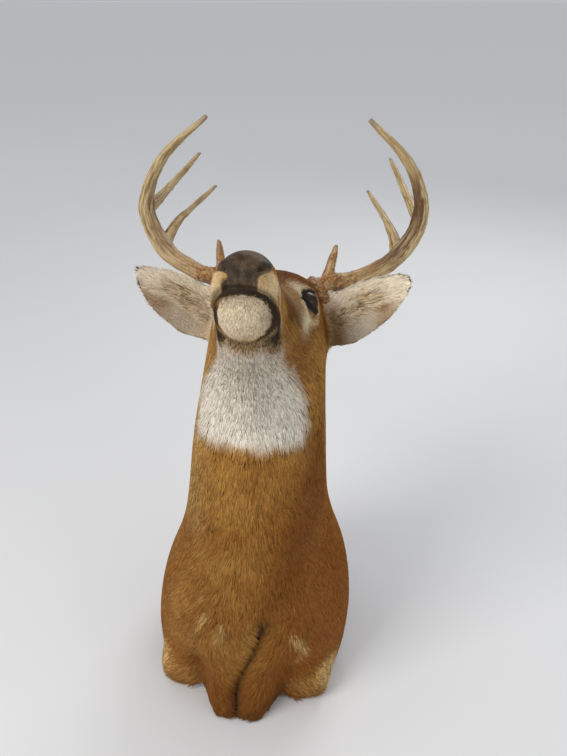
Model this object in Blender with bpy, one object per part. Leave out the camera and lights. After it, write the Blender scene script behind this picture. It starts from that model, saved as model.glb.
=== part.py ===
"""White-tailed deer shoulder mount, standing on its own back board.

The board lies flat at z = 0 and the neck rises from it, so the deer's underside faces -Y, its left
side is +X and its muzzle points up and forward. Lengths are in metres. Every piece is built
symmetric about x = 0 and then given the neck's slight lean to its left."""

import math

import bmesh
import bpy
import numpy as np
from mathutils import Vector

# Driving dimensions
GAP = 0.0003
LEAN = 0.05
NOSE = Vector((0.0, -0.208, 0.705))
HEAD_PITCH = math.radians(50)
RING_POINTS = 32
BOARD_THICKNESS = 0.018
BOARD_HALVES = (0.118, 0.127)
BOARD_SQUARENESS = 2.3
BODY_CLEARANCE = 0.001
EYE_RADIUS = 0.0155
EYE_PLACE = (0.168, 0.049, 0.0465)
NOSE_DEPTH = 0.022
MOUTH_DROP = 0.0235
MOUTH_LENGTH = 0.092
EAR_HALF_WIDTH = 0.0355
EAR_CUP = 0.020
EAR_WALL = 0.006
EAR_ROOT = Vector((0.050, 0.009, 0.537))
EAR_TIP = Vector((0.157, -0.055, 0.640))
EAR_OPENING = Vector((-0.50, -0.85, 0.05))
STUB_PLACE = Vector((0.100, -0.116, 0.040))
STUB_RADII = Vector((0.031, 0.034, 0.048))
BEAM_RADIUS = 0.0112
TINE_RADIUS = 0.0082
BURR_RADIUS = 0.0180
PEDICLE_RADIUS = 0.0140

BACK = Vector((0.0, math.cos(HEAD_PITCH), -math.sin(HEAD_PITCH)))
UP = Vector((0.0, math.sin(HEAD_PITCH), math.cos(HEAD_PITCH)))


def on_head(back, up, side=0.0):
    """A point given from the nose pad: back along the palate, up from it, and to the side."""
    return NOSE + BACK * back + UP * up + Vector((side, 0.0, 0.0))


def on_body(forward, height):
    """A point of the midline, given by its distance in front of the board's centre."""
    return Vector((0.0, -forward, height))


# Each rib of the body is (underline point, topline point, half-width, place of the widest point as
# a share of the way from underline to topline, fullness of the lower half, fullness of the upper).
RIBS = {
    "floor": (on_body(0.198, 0.001), on_body(-0.138, 0.001), 0.135, 0.50, 2.3, 2.2),
    "hem": (on_body(0.196, 0.045), on_body(-0.145, 0.050), 0.144, 0.50, 2.3, 2.2),
    "shoulder": (on_body(0.197, 0.105), on_body(-0.141, 0.105), 0.146, 0.50, 2.2, 2.2),
    "brisket": (on_body(0.201, 0.180), on_body(-0.124, 0.180), 0.134, 0.50, 2.1, 2.2),
    "neck_root": (on_body(0.197, 0.245), on_body(-0.101, 0.245), 0.112, 0.50, 2.1, 2.2),
    "low_neck": (on_body(0.185, 0.305), on_body(-0.081, 0.305), 0.097, 0.50, 2.1, 2.2),
    "mid_neck": (on_body(0.173, 0.370), on_body(-0.065, 0.375), 0.090, 0.50, 2.1, 2.2),
    "high_neck": (on_body(0.169, 0.415), on_body(-0.055, 0.435), 0.086, 0.50, 2.1, 2.2),
    "throat": (on_body(0.166, 0.447), on_body(-0.052, 0.492), 0.081, 0.52, 2.0, 2.2),
    "poll": (on_body(0.161, 0.468), on_body(-0.053, 0.541), 0.077, 0.58, 1.9, 2.3),
    "crown": (on_head(0.203, -0.098), on_head(0.250, 0.112), 0.072, 0.62, 1.8, 2.3),
    "brow": (on_head(0.188, -0.092), on_head(0.200, 0.107), 0.065, 0.68, 1.7, 2.5),
    "eye": (on_head(0.163, -0.082), on_head(0.166, 0.090), 0.058, 0.70, 1.6, 2.4),
    "cheek": (on_head(0.132, -0.072), on_head(0.132, 0.066), 0.047, 0.62, 1.8, 2.1),
    "bridge": (on_head(0.098, -0.063), on_head(0.098, 0.047), 0.038, 0.55, 2.0, 2.0),
    "muzzle": (on_head(0.062, -0.056), on_head(0.062, 0.035), 0.035, 0.50, 2.2, 2.1),
    "lips": (on_head(0.032, -0.053), on_head(0.032, 0.029), 0.034, 0.50, 2.3, 2.2),
    "chin": (on_head(0.010, -0.043), on_head(0.008, 0.022), 0.029, 0.50, 2.3, 2.2),
    "nose_tip": (on_head(-0.007, -0.022), on_head(-0.008, 0.010), 0.018, 0.50, 2.2, 2.2),
}
RIB_NAMES = list(RIBS)

# The left antler's beam, from the pedicle to its tip, and the share of it where each tine grows.
BEAM_PATH = (
    Vector((0.036, -0.004, 0.577)),
    Vector((0.067, 0.012, 0.602)),
    Vector((0.103, 0.030, 0.604)),
    Vector((0.152, 0.050, 0.626)),
    Vector((0.178, 0.061, 0.678)),
    Vector((0.156, 0.069, 0.738)),
    Vector((0.098, 0.076, 0.789)),
)
BURR_SHARE, BROW_SHARE, G2_SHARE, G3_SHARE = 0.105, 0.160, 0.51, 0.65
GAP_SHARE = GAP / 0.36
TINES = {
    "brow_tine": (BROW_SHARE, (Vector((0.070, 0.023, 0.626)), Vector((0.074, 0.028, 0.648)))),
    "g2_tine": (G2_SHARE, (Vector((0.144, 0.092, 0.650)), Vector((0.107, 0.164, 0.680)))),
    "g3_tine": (G3_SHARE, (Vector((0.161, 0.106, 0.689)), Vector((0.134, 0.177, 0.721)))),
}
# Both antlers are drawn in a little at their widest, the left one more.
SPREAD = {1: 0.972, -1: 0.988}


def finish(name, colour, roughness):
    """A plain coat, horn or board material."""
    material = bpy.data.materials.new(name)
    material.use_nodes = True
    shader = material.node_tree.nodes["Principled BSDF"]
    shader.inputs["Base Color"].default_value = (*colour, 1.0)
    shader.inputs["Roughness"].default_value = roughness
    shader.inputs["Metallic"].default_value = 0.0
    return material


def smooth(values, place):
    """A Catmull-Rom curve through evenly spaced values, read at a fractional index."""
    values = np.array([np.atleast_1d(v) for v in values], float)
    last = len(values) - 1
    i = min(max(int(place), 0), last - 1)
    t = place - i
    before = values[i - 1] if i > 0 else 2 * values[0] - values[1]
    after = values[i + 2] if i + 2 <= last else 2 * values[last] - values[last - 1]
    a, b = values[i], values[i + 1]
    slope_a, slope_b = (b - before) / 2, (after - a) / 2
    return (
        (2 * t**3 - 3 * t**2 + 1) * a
        + (t**3 - 2 * t**2 + t) * slope_a
        + (3 * t**2 - 2 * t**3) * b
        + (t**3 - t**2) * slope_b
    )


def fade(value, low, high):
    """0 below low, 1 above high, and a smooth step between."""
    t = min(1.0, max(0.0, (value - low) / (high - low)))
    return t * t * (3 - 2 * t)


def bell(value, centre, width):
    return math.exp(-(((value - centre) / width) ** 2))


def chest_form(x, y, z):
    """Hollows the armpits each side of the brisket's keel and draws its lower end in."""
    low = 1 - fade(z, 0.05, 0.15)
    front = fade(-y, 0.082, 0.152)
    hollow = 0.030 * bell(abs(x), 0.062, 0.017) + 0.016 * fade(abs(x), 0.055, 0.095)
    keel = 0.010 * min(1.0, abs(x) / 0.05) ** 2
    crease = 0.005 * bell(x, 0.0, 0.008) * (1 - fade(z, 0.15, 0.23)) * front
    return x, y + (hollow + keel) * low * front + crease, z


def section(place, grow=0.0):
    """One ring of the body at a fractional rib number, grown on all sides by a clearance."""
    ribs = list(RIBS.values())
    under = smooth([r[0] for r in ribs], place)
    top = smooth([r[1] for r in ribs], place)
    width, widest, low_full, high_full = (
        float(smooth([r[k] for r in ribs], place)[0]) for k in (2, 3, 4, 5)
    )
    margin = (top - under) * grow / np.linalg.norm(top - under)
    under, top, width = under - margin, top + margin, width + grow
    points = []
    for k in range(RING_POINTS):
        angle = 2 * math.pi * k / RING_POINTS
        c, s = math.cos(angle), math.sin(angle)
        full = low_full if c > 0 else high_full
        reach = math.copysign(abs(c) ** (2 / full), c)
        share = widest - reach * (widest if c > 0 else 1 - widest)
        side = width * math.copysign(abs(s) ** (2 / full), s)
        x, y, z = under + (top - under) * share + np.array((side, 0, 0))
        points.append(chest_form(x, y, z))
    return points


def make_mesh(name, points, faces, material, smooth_angle=40):
    """An object from points and faces, with its faces turned outward."""
    mesh = bpy.data.meshes.new(name)
    work = bmesh.new()
    verts = [work.verts.new(p) for p in points]
    for face in faces:
        work.faces.new([verts[i] for i in face])
    bmesh.ops.recalc_face_normals(work, faces=work.faces)
    work.to_mesh(mesh)
    work.free()
    mesh.polygons.foreach_set("use_smooth", [True] * len(mesh.polygons))
    mesh.set_sharp_from_angle(angle=math.radians(smooth_angle))
    mesh.materials.append(material)
    made = bpy.data.objects.new(name, mesh)
    bpy.context.scene.collection.objects.link(made)
    return made


def loft(name, rings, material):
    """A closed body through rings of equal size, capped at both ends."""
    size = len(rings[0])
    points = [p for ring in rings for p in ring]
    faces = [tuple(range(size))]
    for r in range(len(rings) - 1):
        for k in range(size):
            a, b = r * size + k, r * size + (k + 1) % size
            faces.append((a, b, b + size, a + size))
    faces.append(tuple(range(len(points) - size, len(points))))
    return make_mesh(name, points, faces, material)


def body_length(name, start, end, rings_per_rib, material, grow=0.0):
    """The length of the body between two fractional rib numbers."""
    count = round((end - start) * rings_per_rib)
    places = [start + (end - start) * k / count for k in range(count + 1)]
    return loft(name, [section(p, grow) for p in places], material)


def box(name, low, high):
    """A cutter, hidden from the model."""
    corners = [(x, y, z) for x in (low[0], high[0]) for y in (low[1], high[1]) for z in (low[2], high[2])]
    faces = ((0, 1, 3, 2), (4, 6, 7, 5), (0, 4, 5, 1), (2, 3, 7, 6), (0, 2, 6, 4), (1, 5, 7, 3))
    return hide(make_mesh(name, corners, faces, CUTTER))


def head_box(name, back, up):
    """A cutter square to the palate, between two distances back from the nose and two above it."""
    corners = [on_head(a, b, s) for s in (-0.1, 0.1) for a in back for b in up]
    faces = ((0, 1, 3, 2), (4, 6, 7, 5), (0, 4, 5, 1), (2, 3, 7, 6), (0, 2, 6, 4), (1, 5, 7, 3))
    return hide(make_mesh(name, corners, faces, CUTTER))


def hide(cutter):
    cutter.hide_render = True
    cutter.display_type = "WIRE"
    return cutter


def cut(target, cutter, operation="DIFFERENCE"):
    """Adds a Boolean of the exact solver."""
    modifier = target.modifiers.new(f"{operation.lower()}_{cutter.name}", "BOOLEAN")
    modifier.operation = operation
    modifier.solver = "EXACT"
    modifier.object = cutter


def copy_of(source, name):
    """A copy with its own mesh and none of its source's cuts."""
    copy = bpy.data.objects.new(name, source.data.copy())
    bpy.context.scene.collection.objects.link(copy)
    return copy


def ellipsoid(name, centre, radii, rings, material):
    """A ball of the given radii, closed at its poles by small caps."""
    circles = []
    for k in range(1, rings):
        polar = math.pi * k / rings
        circles.append(
            [
                (
                    centre[0] + radii[0] * math.sin(polar) * math.cos(2 * math.pi * j / (2 * rings)),
                    centre[1] + radii[1] * math.sin(polar) * math.sin(2 * math.pi * j / (2 * rings)),
                    centre[2] + radii[2] * math.cos(polar),
                )
                for j in range(2 * rings)
            ]
        )
    return loft(name, circles, material)


def ear(name, side, material):
    """A cupped leaf from the skull to the tip, its hollow side turned forward and inward."""
    along = EAR_TIP - EAR_ROOT
    opening = (EAR_OPENING - EAR_OPENING.dot(along.normalized()) * along.normalized()).normalized()
    across = opening.cross(along.normalized())
    rings = []
    steps, half = 11, 5
    for k in range(steps + 1):
        t = 0.985 * k / steps
        width = EAR_HALF_WIDTH * (0.50 + 0.50 * math.sin(min(1, t / 0.40) * math.pi / 2))
        width *= (1 - max(0.0, (t - 0.30) / 0.70) ** 2) ** 0.70
        width = max(width, 0.004)
        depth = EAR_CUP * (1 - 0.80 * t)
        wall = EAR_WALL * (1 - 0.35 * t)
        centre = EAR_ROOT + along * t - across * (0.014 * math.sin(math.pi * t) + 0.004 * (1 - t))
        ring = []
        for j in range(-half, half + 1):
            angle = math.pi / 2 * j / half
            back = -(depth * math.cos(angle)) - wall / 2
            ring.append(centre + across * width * math.sin(angle) + opening * back)
        for j in range(half, -half - 1, -1):
            angle = math.pi / 2 * j / half
            back = -(depth * math.cos(angle)) + wall / 2
            ring.append(centre + across * width * math.sin(angle) * 0.97 + opening * back)
        rings.append([(side * p.x, p.y, p.z) for p in ring])
    return loft(name, rings, material)


def tube(name, curve, shares, radii, sides, facing, material):
    """A round bar along a curve, each ring square to it with its first point turned to one side."""
    rings = []
    for k, share in enumerate(shares):
        point = curve(share)
        ahead = (curve(share + 0.01) - curve(share - 0.01)).normalized()
        normal = (facing - facing.dot(ahead) * ahead).normalized()
        other = ahead.cross(normal)
        turn = [2 * math.pi * j / sides for j in range(sides)]
        rings.append([point + (normal * math.cos(a) + other * math.sin(a)) * radii[k] for a in turn])
    return loft(name, rings, material)


def spread(point, side):
    """A point of the left antler as it stands on the given side."""
    reach = fade(point[0], 0.05, 0.14)
    return Vector((side * point[0] * (1 + (SPREAD[side] - 1) * reach), point[1], point[2]))


def beam_point(share, side):
    return spread(smooth(BEAM_PATH, share * (len(BEAM_PATH) - 1)), side)


def beam_radius(share):
    """Thick at the base, full through the curve and drawn out to a blunt point."""
    taper = 1 - fade(share, 0.55, 1.12) * 0.88
    return BEAM_RADIUS * taper * (1 + 0.10 * bell(share, 0.10, 0.10) + 0.07 * bell(share, G2_SHARE, 0.05))


def beam_shares():
    """Where the beam's rings stand: through the burr, then evenly between the forks."""
    burr = [0.0, BURR_SHARE - 0.012, BURR_SHARE, BURR_SHARE + 0.014]
    base = [*burr, *np.linspace(BURR_SHARE + 0.03, G2_SHARE, 10)]
    middle = [*np.linspace(G2_SHARE + GAP_SHARE, G3_SHARE, 5)]
    tip = [*np.linspace(G3_SHARE + GAP_SHARE, 0.995, 10)]
    return base, middle, tip


def beam_piece(name, side, shares, grow, material):
    """A length of the beam, with its pedicle and burr where the length begins at the skull."""
    radii = [beam_radius(s) + grow for s in shares]
    if shares[0] == 0.0:
        radii[:4] = [r + grow for r in (PEDICLE_RADIUS, PEDICLE_RADIUS, BURR_RADIUS, BURR_RADIUS * 0.93)]
    return tube(name, lambda s: beam_point(s, side), shares, radii, 10, Vector((0, 1, 0)), material)


def tine(name, side, share, ends, material, whole_beam):
    """A tine that grows out of the beam, cut to the beam's surface."""
    path = [beam_point(share, side), *[spread(end, side) for end in ends]]
    steps = 7
    shares = [k / steps for k in range(steps + 1)]
    radii = [TINE_RADIUS * (1.12 - 0.95 * s**1.3) for s in shares]
    made = tube(name, lambda s: Vector(smooth(path, 2 * s)), shares, radii, 8, Vector((1, 0, 0)), material)
    cut(made, whole_beam)
    return made


def antler(label, side):
    """One antler: its base with the burr, the beam in two more lengths, and three tines."""
    base, middle, tip = beam_shares()
    beam_piece(f"antler_{label}_base", side, base, 0.0, HORN)
    beam_piece(f"antler_{label}_beam", side, middle, 0.0, HORN)
    beam_piece(f"antler_{label}_tip", side, tip, 0.0, HORN)
    whole = hide(beam_piece(f"cutter_beam_{label}", side, [*base, *middle, *tip], 2 * GAP, CUTTER))
    for kind, (share, ends) in TINES.items():
        tine(f"antler_{label}_{kind}", side, share, ends, HORN, whole)
    return hide(beam_piece(f"cutter_base_{label}", side, base, 3 * GAP, CUTTER))


def board():
    """Plywood let into the flat back, and the pocket that it fills."""

    def outline(height, grow):
        ring = []
        for k in range(2 * RING_POINTS):
            angle = math.pi * k / RING_POINTS
            c, s = math.cos(angle), math.sin(angle)
            across, along = (
                math.copysign(abs(v) ** (2 / BOARD_SQUARENESS), v) * (half + grow)
                for v, half in ((c, BOARD_HALVES[0]), (s, BOARD_HALVES[1]))
            )
            ring.append((across, along, height))
        return ring

    made = loft("back_board", [outline(0.0, 0.0), outline(BOARD_THICKNESS, 0.0)], PLYWOOD)
    pocket = loft("cutter_pocket", [outline(-0.01, GAP), outline(BOARD_THICKNESS + GAP, GAP)], CUTTER)
    return made, hide(pocket)


def lean(made):
    """Shears a finished mesh sideways with height."""
    for vertex in made.data.vertices:
        vertex.co.x += LEAN * vertex.co.z


for old in list(bpy.data.objects):
    bpy.data.objects.remove(old)

COAT = finish("coat", (0.42, 0.22, 0.09), 0.9)
PALE = finish("pale_coat", (0.66, 0.60, 0.50), 0.9)
NOSE_SKIN = finish("nose_skin", (0.05, 0.035, 0.03), 0.5)
GLASS = finish("glass_eye", (0.02, 0.012, 0.008), 0.05)
HORN = finish("antler", (0.55, 0.42, 0.25), 0.55)
PLYWOOD = finish("plywood", (0.55, 0.40, 0.24), 0.7)
CUTTER = finish("cutter", (0.5, 0.5, 0.5), 1.0)

last_rib = len(RIB_NAMES) - 1
neck_from = RIB_NAMES.index("neck_root")
head_from = RIB_NAMES.index("throat")
rib_gap = GAP / 0.05

trunk = body_length("trunk", 0.0, neck_from - rib_gap, 3, COAT)
neck = body_length("neck", neck_from, head_from - rib_gap, 2, COAT)
head = body_length("head", head_from, last_rib, 3, COAT)
skull = hide(body_length("cutter_skull", head_from - 1, last_rib, 3, CUTTER, grow=GAP))

back_board, pocket = board()
cut(trunk, pocket)

for label, side in (("left", 1), ("right", -1)):
    stub_centre = (side * STUB_PLACE.x, STUB_PLACE.y, STUB_PLACE.z)
    stub = ellipsoid(f"foreleg_{label}", stub_centre, STUB_RADII, 10, COAT)
    stub_room = ellipsoid(f"cutter_foreleg_{label}", stub_centre, [r + GAP for r in STUB_RADII], 10, CUTTER)
    cut(trunk, hide(stub_room))
    under_floor = box(f"cutter_floor_{label}", (-0.3, -0.3, -0.1), (0.3, 0.3, BODY_CLEARANCE))
    cut(stub, under_floor)
    cut(stub, pocket)
    cut(ear(f"ear_{label}", side, COAT), skull)
    back, up, out = EYE_PLACE
    eye_centre = on_head(back, up, side * out)
    ellipsoid(f"eye_{label}", eye_centre, [EYE_RADIUS] * 3, 8, GLASS)
    socket = ellipsoid(f"cutter_eye_{label}", eye_centre, [EYE_RADIUS + GAP] * 3, 8, CUTTER)
    cut(head, hide(socket))
    cut(head, antler(label, side))

jaw = copy_of(head, "lower_jaw")
nose = copy_of(head, "nose")
nose.data.materials[0] = NOSE_SKIN
jaw.data.materials[0] = PALE
cut(jaw, head_box("cutter_jaw", (-0.1, MOUTH_LENGTH), (-0.2, -MOUTH_DROP - GAP)), "INTERSECT")
cut(head, head_box("cutter_jaw_room", (-0.1, MOUTH_LENGTH + GAP), (-0.2, -MOUTH_DROP)))
cut(nose, head_box("cutter_nose", (-0.1, NOSE_DEPTH - GAP), (-MOUTH_DROP, 0.1)), "INTERSECT")
cut(head, head_box("cutter_nose_room", (-0.1, NOSE_DEPTH), (-MOUTH_DROP - 0.01, 0.1)))

for made in bpy.data.objects:
    lean(made)
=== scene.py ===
# %% [markdown]
# # A deer's shoulder mount
#
# A shoulder mount is a tanned deer skin over a rigid form of the neck, chest and head, with glass eyes and
# the buck's own antlers. The frame that is loaded here holds the plain solids of each part at its real
# size. The cells below give them their finish: one skin with lids and lips, a coat of hair locks that lies
# along the body, antlers with ridges and stains, and a pebbled nose.

# %% Load the frame
import math

import bpy
import numpy as np
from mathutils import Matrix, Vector
from mathutils.bvhtree import BVHTree


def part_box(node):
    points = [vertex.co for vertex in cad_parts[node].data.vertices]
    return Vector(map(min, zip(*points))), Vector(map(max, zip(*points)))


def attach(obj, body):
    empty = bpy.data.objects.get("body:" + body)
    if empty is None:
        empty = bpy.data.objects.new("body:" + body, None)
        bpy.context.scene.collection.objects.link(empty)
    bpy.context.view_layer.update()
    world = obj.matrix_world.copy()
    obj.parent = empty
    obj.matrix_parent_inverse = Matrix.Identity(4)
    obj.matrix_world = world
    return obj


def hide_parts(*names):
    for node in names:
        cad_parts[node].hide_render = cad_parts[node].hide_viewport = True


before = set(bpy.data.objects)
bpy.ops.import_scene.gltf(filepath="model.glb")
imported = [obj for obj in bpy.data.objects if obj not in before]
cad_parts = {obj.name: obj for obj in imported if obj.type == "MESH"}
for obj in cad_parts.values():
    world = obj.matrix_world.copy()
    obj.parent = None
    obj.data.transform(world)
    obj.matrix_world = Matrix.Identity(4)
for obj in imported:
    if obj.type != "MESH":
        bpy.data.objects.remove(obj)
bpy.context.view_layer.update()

# %% [markdown]
# ## Small tools for modelling
#
# Blender's operators work on whatever is selected, and loading the frame leaves its nodes selected. So
# each step starts by selecting only what it needs. The shape of a face is easier to write with numpy, which
# moves all points at once, so a few helpers read and write the points of a mesh.

# %% Selecting, joining and applying
def only(*pieces):
    """Selects these objects and nothing else, and makes the first one active."""
    bpy.ops.object.select_all(action="DESELECT")
    for piece in pieces:
        piece.select_set(True)
    bpy.context.view_layer.objects.active = pieces[0]


def join_as(name, pieces):
    """Joins pieces into one object of this name, with no material."""
    only(*pieces)
    bpy.ops.object.join()
    made = bpy.context.view_layer.objects.active
    made.name = made.data.name = name
    made.data.materials.clear()
    return made


def apply_modifier(piece, kind, **settings):
    """Adds a modifier with these settings and applies it."""
    only(piece)
    modifier = piece.modifiers.new(kind.title(), kind)
    for key, value in settings.items():
        setattr(modifier, key, value)
    bpy.ops.object.modifier_apply(modifier=modifier.name)


# %% Reading and writing points
def points_of(mesh):
    """The places of a mesh's points, one row for each."""
    points = np.empty(len(mesh.vertices) * 3)
    mesh.vertices.foreach_get("co", points)
    return points.reshape(-1, 3)


def normals_of(mesh):
    normals = np.empty(len(mesh.vertices) * 3, np.float32)
    mesh.vertex_normals.foreach_get("vector", normals)
    return normals.reshape(-1, 3).astype(float)


def set_points(mesh, points):
    mesh.vertices.foreach_set("co", np.ascontiguousarray(points, np.float32).ravel())
    mesh.update()


def push(mesh, distances):
    """Moves each point this far out along its normal."""
    set_points(mesh, points_of(mesh) + normals_of(mesh) * distances[:, None])


def store(mesh, name, *columns):
    """Keeps up to three numbers on each point for a material to read, with 0 for those left out."""
    kept = np.zeros((len(mesh.vertices), 3), np.float32)
    kept[:, : len(columns)] = np.stack(columns, axis=1)
    mesh.attributes.new(name, "FLOAT_VECTOR", "POINT").data.foreach_set("vector", kept.ravel())


# %% [markdown]
# ## Soft steps and bells
#
# Every feature of the face and every marking of the coat is written as a share from 0 to 1 at each point: a
# smooth step where something begins or ends, a bell round a place, and a ripple to make edges uneven.
# Multiplying shares keeps what they have in common.

# %% Steps, bells and ripples
def fade(value, low, high):
    """0 below low, 1 above high and a smooth step between, for numbers or whole arrays."""
    t = np.clip((value - low) / (high - low), 0, 1)
    return t * t * (3 - 2 * t)


def fall(value, low, high):
    """1 below low and 0 above high."""
    return 1 - fade(value, low, high)


def between(value, low, full, still, high):
    """0 below low, 1 from full to still, and 0 again above high."""
    return fade(value, low, full) * fall(value, still, high)


def bell(value, centre, width):
    """1 at the centre, about a third a width away, and soon 0."""
    return np.exp(-(((value - centre) / width) ** 2))


def unit(vectors):
    """The same directions, each of length 1."""
    return vectors / (np.linalg.norm(vectors, axis=-1, keepdims=True) + 1e-12)


def ripple(points, scale, seed):
    """A smooth random field between about -1 and 1, made of sine waves that cross at odd angles."""
    chance = np.random.default_rng(seed)
    waves = unit(chance.normal(size=(7, 3))) * chance.uniform(0.6, 1.6, (7, 1)) * 2 * math.pi / scale
    return np.sin(points @ waves.T + chance.uniform(0, 6.3, 7)).mean(axis=1) * 1.9


# %% [markdown]
# ## Places on the deer
#
# The head has its own directions: back along the palate from the nose pad, up from the palate, and out to
# the side. The whole neck leans a little to the deer's left, so the midline moves sideways with height.

# %% The head's own directions
SIGNS = {"left": 1, "right": -1}
LEAN = 0.05
HEAD_PITCH = math.radians(50)
BACK = np.array((0.0, math.cos(HEAD_PITCH), -math.sin(HEAD_PITCH)))
UP = np.array((0.0, math.sin(HEAD_PITCH), math.cos(HEAD_PITCH)))
PAD_DEPTH = 0.022
PAD_DROP = 0.013
nose_low, nose_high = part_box("nose")
NOSE = np.array(((nose_low.x + nose_high.x) / 2, nose_low.y + PAD_DEPTH, nose_high.z - PAD_DROP))


def head_places(points):
    """(back, up, side) of points, measured from the nose pad. Side is positive on the deer's left."""
    from_nose = points - NOSE
    return from_nose @ BACK, from_nose @ UP, from_nose[:, 0] - LEAN * from_nose[:, 2]


print("nose pad", NOSE.round(3))

# %% Middles of the eyes and of the leg nubs
def middle_of(name):
    low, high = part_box(name)
    return np.array((low + high) / 2)


EYES = {label: middle_of(f"eye_{label}") for label in SIGNS}
EYE_RADIUS = (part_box("eye_left")[1].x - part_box("eye_left")[0].x) / 2
NUBS = {sign: middle_of(f"foreleg_{label}") for label, sign in SIGNS.items()}
print("eyes", {label: place.round(3) for label, place in EYES.items()}, "radius", round(EYE_RADIUS, 4))

# %% The brisket's seam
SEAM_TOP = 0.237
SEAM_FOOT = 0.001
SEAM_SLANT = 0.046
BRISKET_FRONT = -0.10


def seam_side(points):
    """How far to the left of the brisket's seam each point lies. The seam slants from top left to bottom."""
    return points[:, 0] - SEAM_FOOT - SEAM_SLANT * fade(points[:, 2], 0.05, 0.25)


def on_seam(points, width):
    """1 on the brisket's seam, fading to 0 a width away."""
    below_top = fall(points[:, 2], SEAM_TOP - 0.012, SEAM_TOP)
    return bell(seam_side(points), 0, width) * below_top * (points[:, 1] < BRISKET_FRONT)


# %% The ears' own directions
EAR_ROOT = np.array((0.050, 0.009, 0.537))
EAR_TIP = np.array((0.157, -0.055, 0.640))
EAR_OPENING = np.array((-0.50, -0.85, 0.05))
EAR_BOW = 0.0100
# The left ear reaches a little past its solid.
EAR_STRETCH = {1: 1.085, -1: 1.0}


def ear_frame(sign):
    """(root, length, along, opening, upward) of the left ear for sign 1, or of the right one for -1."""
    mirror = np.array((sign, 1, 1))
    root, tip = EAR_ROOT * mirror, EAR_TIP * mirror
    root[0] += LEAN * root[2]
    tip[0] += LEAN * tip[2]
    along = unit(tip - root)
    opening = EAR_OPENING * mirror
    opening = unit(opening - along * (opening @ along))
    length = np.linalg.norm(tip - root) * EAR_STRETCH[sign]
    return root, length, along, opening, np.cross(along, opening) * -sign


def ear_lift(share):
    """How far the middle of an ear stands above the straight line from its root to its tip."""
    return EAR_BOW * bell(share, 0.50, 0.34)


print("ears", [round(float(ear_frame(sign)[1]), 3) for sign in SIGNS.values()], "long")

# %% [markdown]
# ## One skin
#
# On the real mount a single hide covers trunk, neck, head and ears, so no seam may show between the solid
# nodes. Joining their copies and remeshing them as voxels melts them into one surface. It could also be
# sculpted from a sphere, but then it would have to be fitted. The eyes go in with the flesh for now, and
# small balls fill the sockets of the antlers. The ears are thickened first, because a thin leaf falls
# between the voxels.

# %% Copies of nodes, and distances
def copy_of_node(name):
    """A copy of a solid node as an object of its own, its loose triangles merged."""
    copy = bpy.data.objects.new(f"copy_{name}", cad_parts[name].data.copy())
    bpy.context.scene.collection.objects.link(copy)
    only(copy)
    bpy.ops.object.mode_set(mode="EDIT")
    bpy.ops.mesh.select_all(action="SELECT")
    bpy.ops.mesh.remove_doubles(threshold=1e-5)
    bpy.ops.object.mode_set(mode="OBJECT")
    return copy


def tree_of(meshes):
    """A search tree over the faces of some meshes."""
    points, faces = [], []
    for mesh in meshes:
        faces += [[i + len(points) for i in polygon.vertices] for polygon in mesh.polygons]
        points += [vertex.co.copy() for vertex in mesh.vertices]
    return BVHTree.FromPolygons(points, faces)


FAR_FROM_EAR = 0.02


def from_ears(points):
    """The distance from each point to the leaves of the ears, no more than FAR_FROM_EAR."""
    found = (EAR_TREE.find_nearest(Vector(point), FAR_FROM_EAR)[3] for point in points)
    return np.array([FAR_FROM_EAR if distance is None else distance for distance in found])


# %% Bow and thicken the ears
FLESH = ("trunk", "neck", "head", "nose", "lower_jaw",
         "foreleg_left", "foreleg_right", "ear_left", "ear_right")
EAR_THICKENING = 0.0020
flesh = [copy_of_node(name) for name in (*FLESH, "eye_left", "eye_right")]
ears = [piece for piece in flesh if "ear_" in piece.name]
for piece, sign in zip(ears, SIGNS.values()):
    root, length, along, _, upward = ear_frame(sign)
    points = points_of(piece.data)
    on_axis = (points - root) @ along
    reach = on_axis * EAR_STRETCH[sign]
    lengthened = points + np.outer(reach - on_axis, along)
    set_points(piece.data, lengthened + np.outer(ear_lift(reach / length), upward))
EAR_TREE = tree_of([piece.data for piece in ears])
for piece in ears:
    apply_modifier(piece, "DISPLACE", strength=EAR_THICKENING, mid_level=0.0)
print("copies", len(flesh))

# %% Fill the sockets and melt the flesh
VOXEL = 0.0047
PEDICLES = ((0.042, 0.000, 0.580), (0.052, 0.006, 0.588), (0.060, 0.010, 0.594))
PEDICLE_RADIUS = 0.0150


def ball(place, radius, segments, ring_count):
    """A ball whose object stays at the origin."""
    bpy.ops.object.select_all(action="DESELECT")
    size = {"segments": segments, "ring_count": ring_count, "radius": radius}
    bpy.ops.mesh.primitive_uv_sphere_add(location=place, **size)
    bpy.ops.object.transform_apply(location=True)
    return bpy.context.view_layer.objects.active


for sign in SIGNS.values():
    flesh += [ball((x * sign + LEAN * z, y, z), PEDICLE_RADIUS, 24, 16) for x, y, z in PEDICLES]
skin = join_as("skin", flesh)
apply_modifier(skin, "REMESH", mode="VOXEL", voxel_size=VOXEL)
print("melted skin", len(skin.data.polygons), "faces")

# %% [markdown]
# The solids are faceted, and a body's long facets would show through short hair. Smoothing rounds them:
# strongly on the big forms, gently on the head and ears. A vertex group tells the modifier how much, and
# leaves the flat back and the pocket of the board alone.

# %% Smooth by a weight
BOARD_LOW, BOARD_HIGH = (np.array(corner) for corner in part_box("back_board"))
FLOOR_BAND = 0.003
BACK_LEVEL = 0.0005


def in_pocket(points):
    """1 round the board and where it sits, 0 elsewhere."""
    middle = (BOARD_LOW + BOARD_HIGH) / 2
    half = (BOARD_HIGH - BOARD_LOW) / 2 + 0.004
    across, along = np.abs((points - middle) / half).T[:2]
    inside = (across**2.3 + along**2.3 < 1) & (points[:, 2] < BOARD_HIGH[2] + 0.006)
    return np.where(inside, 1.0, 0.0)


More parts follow.
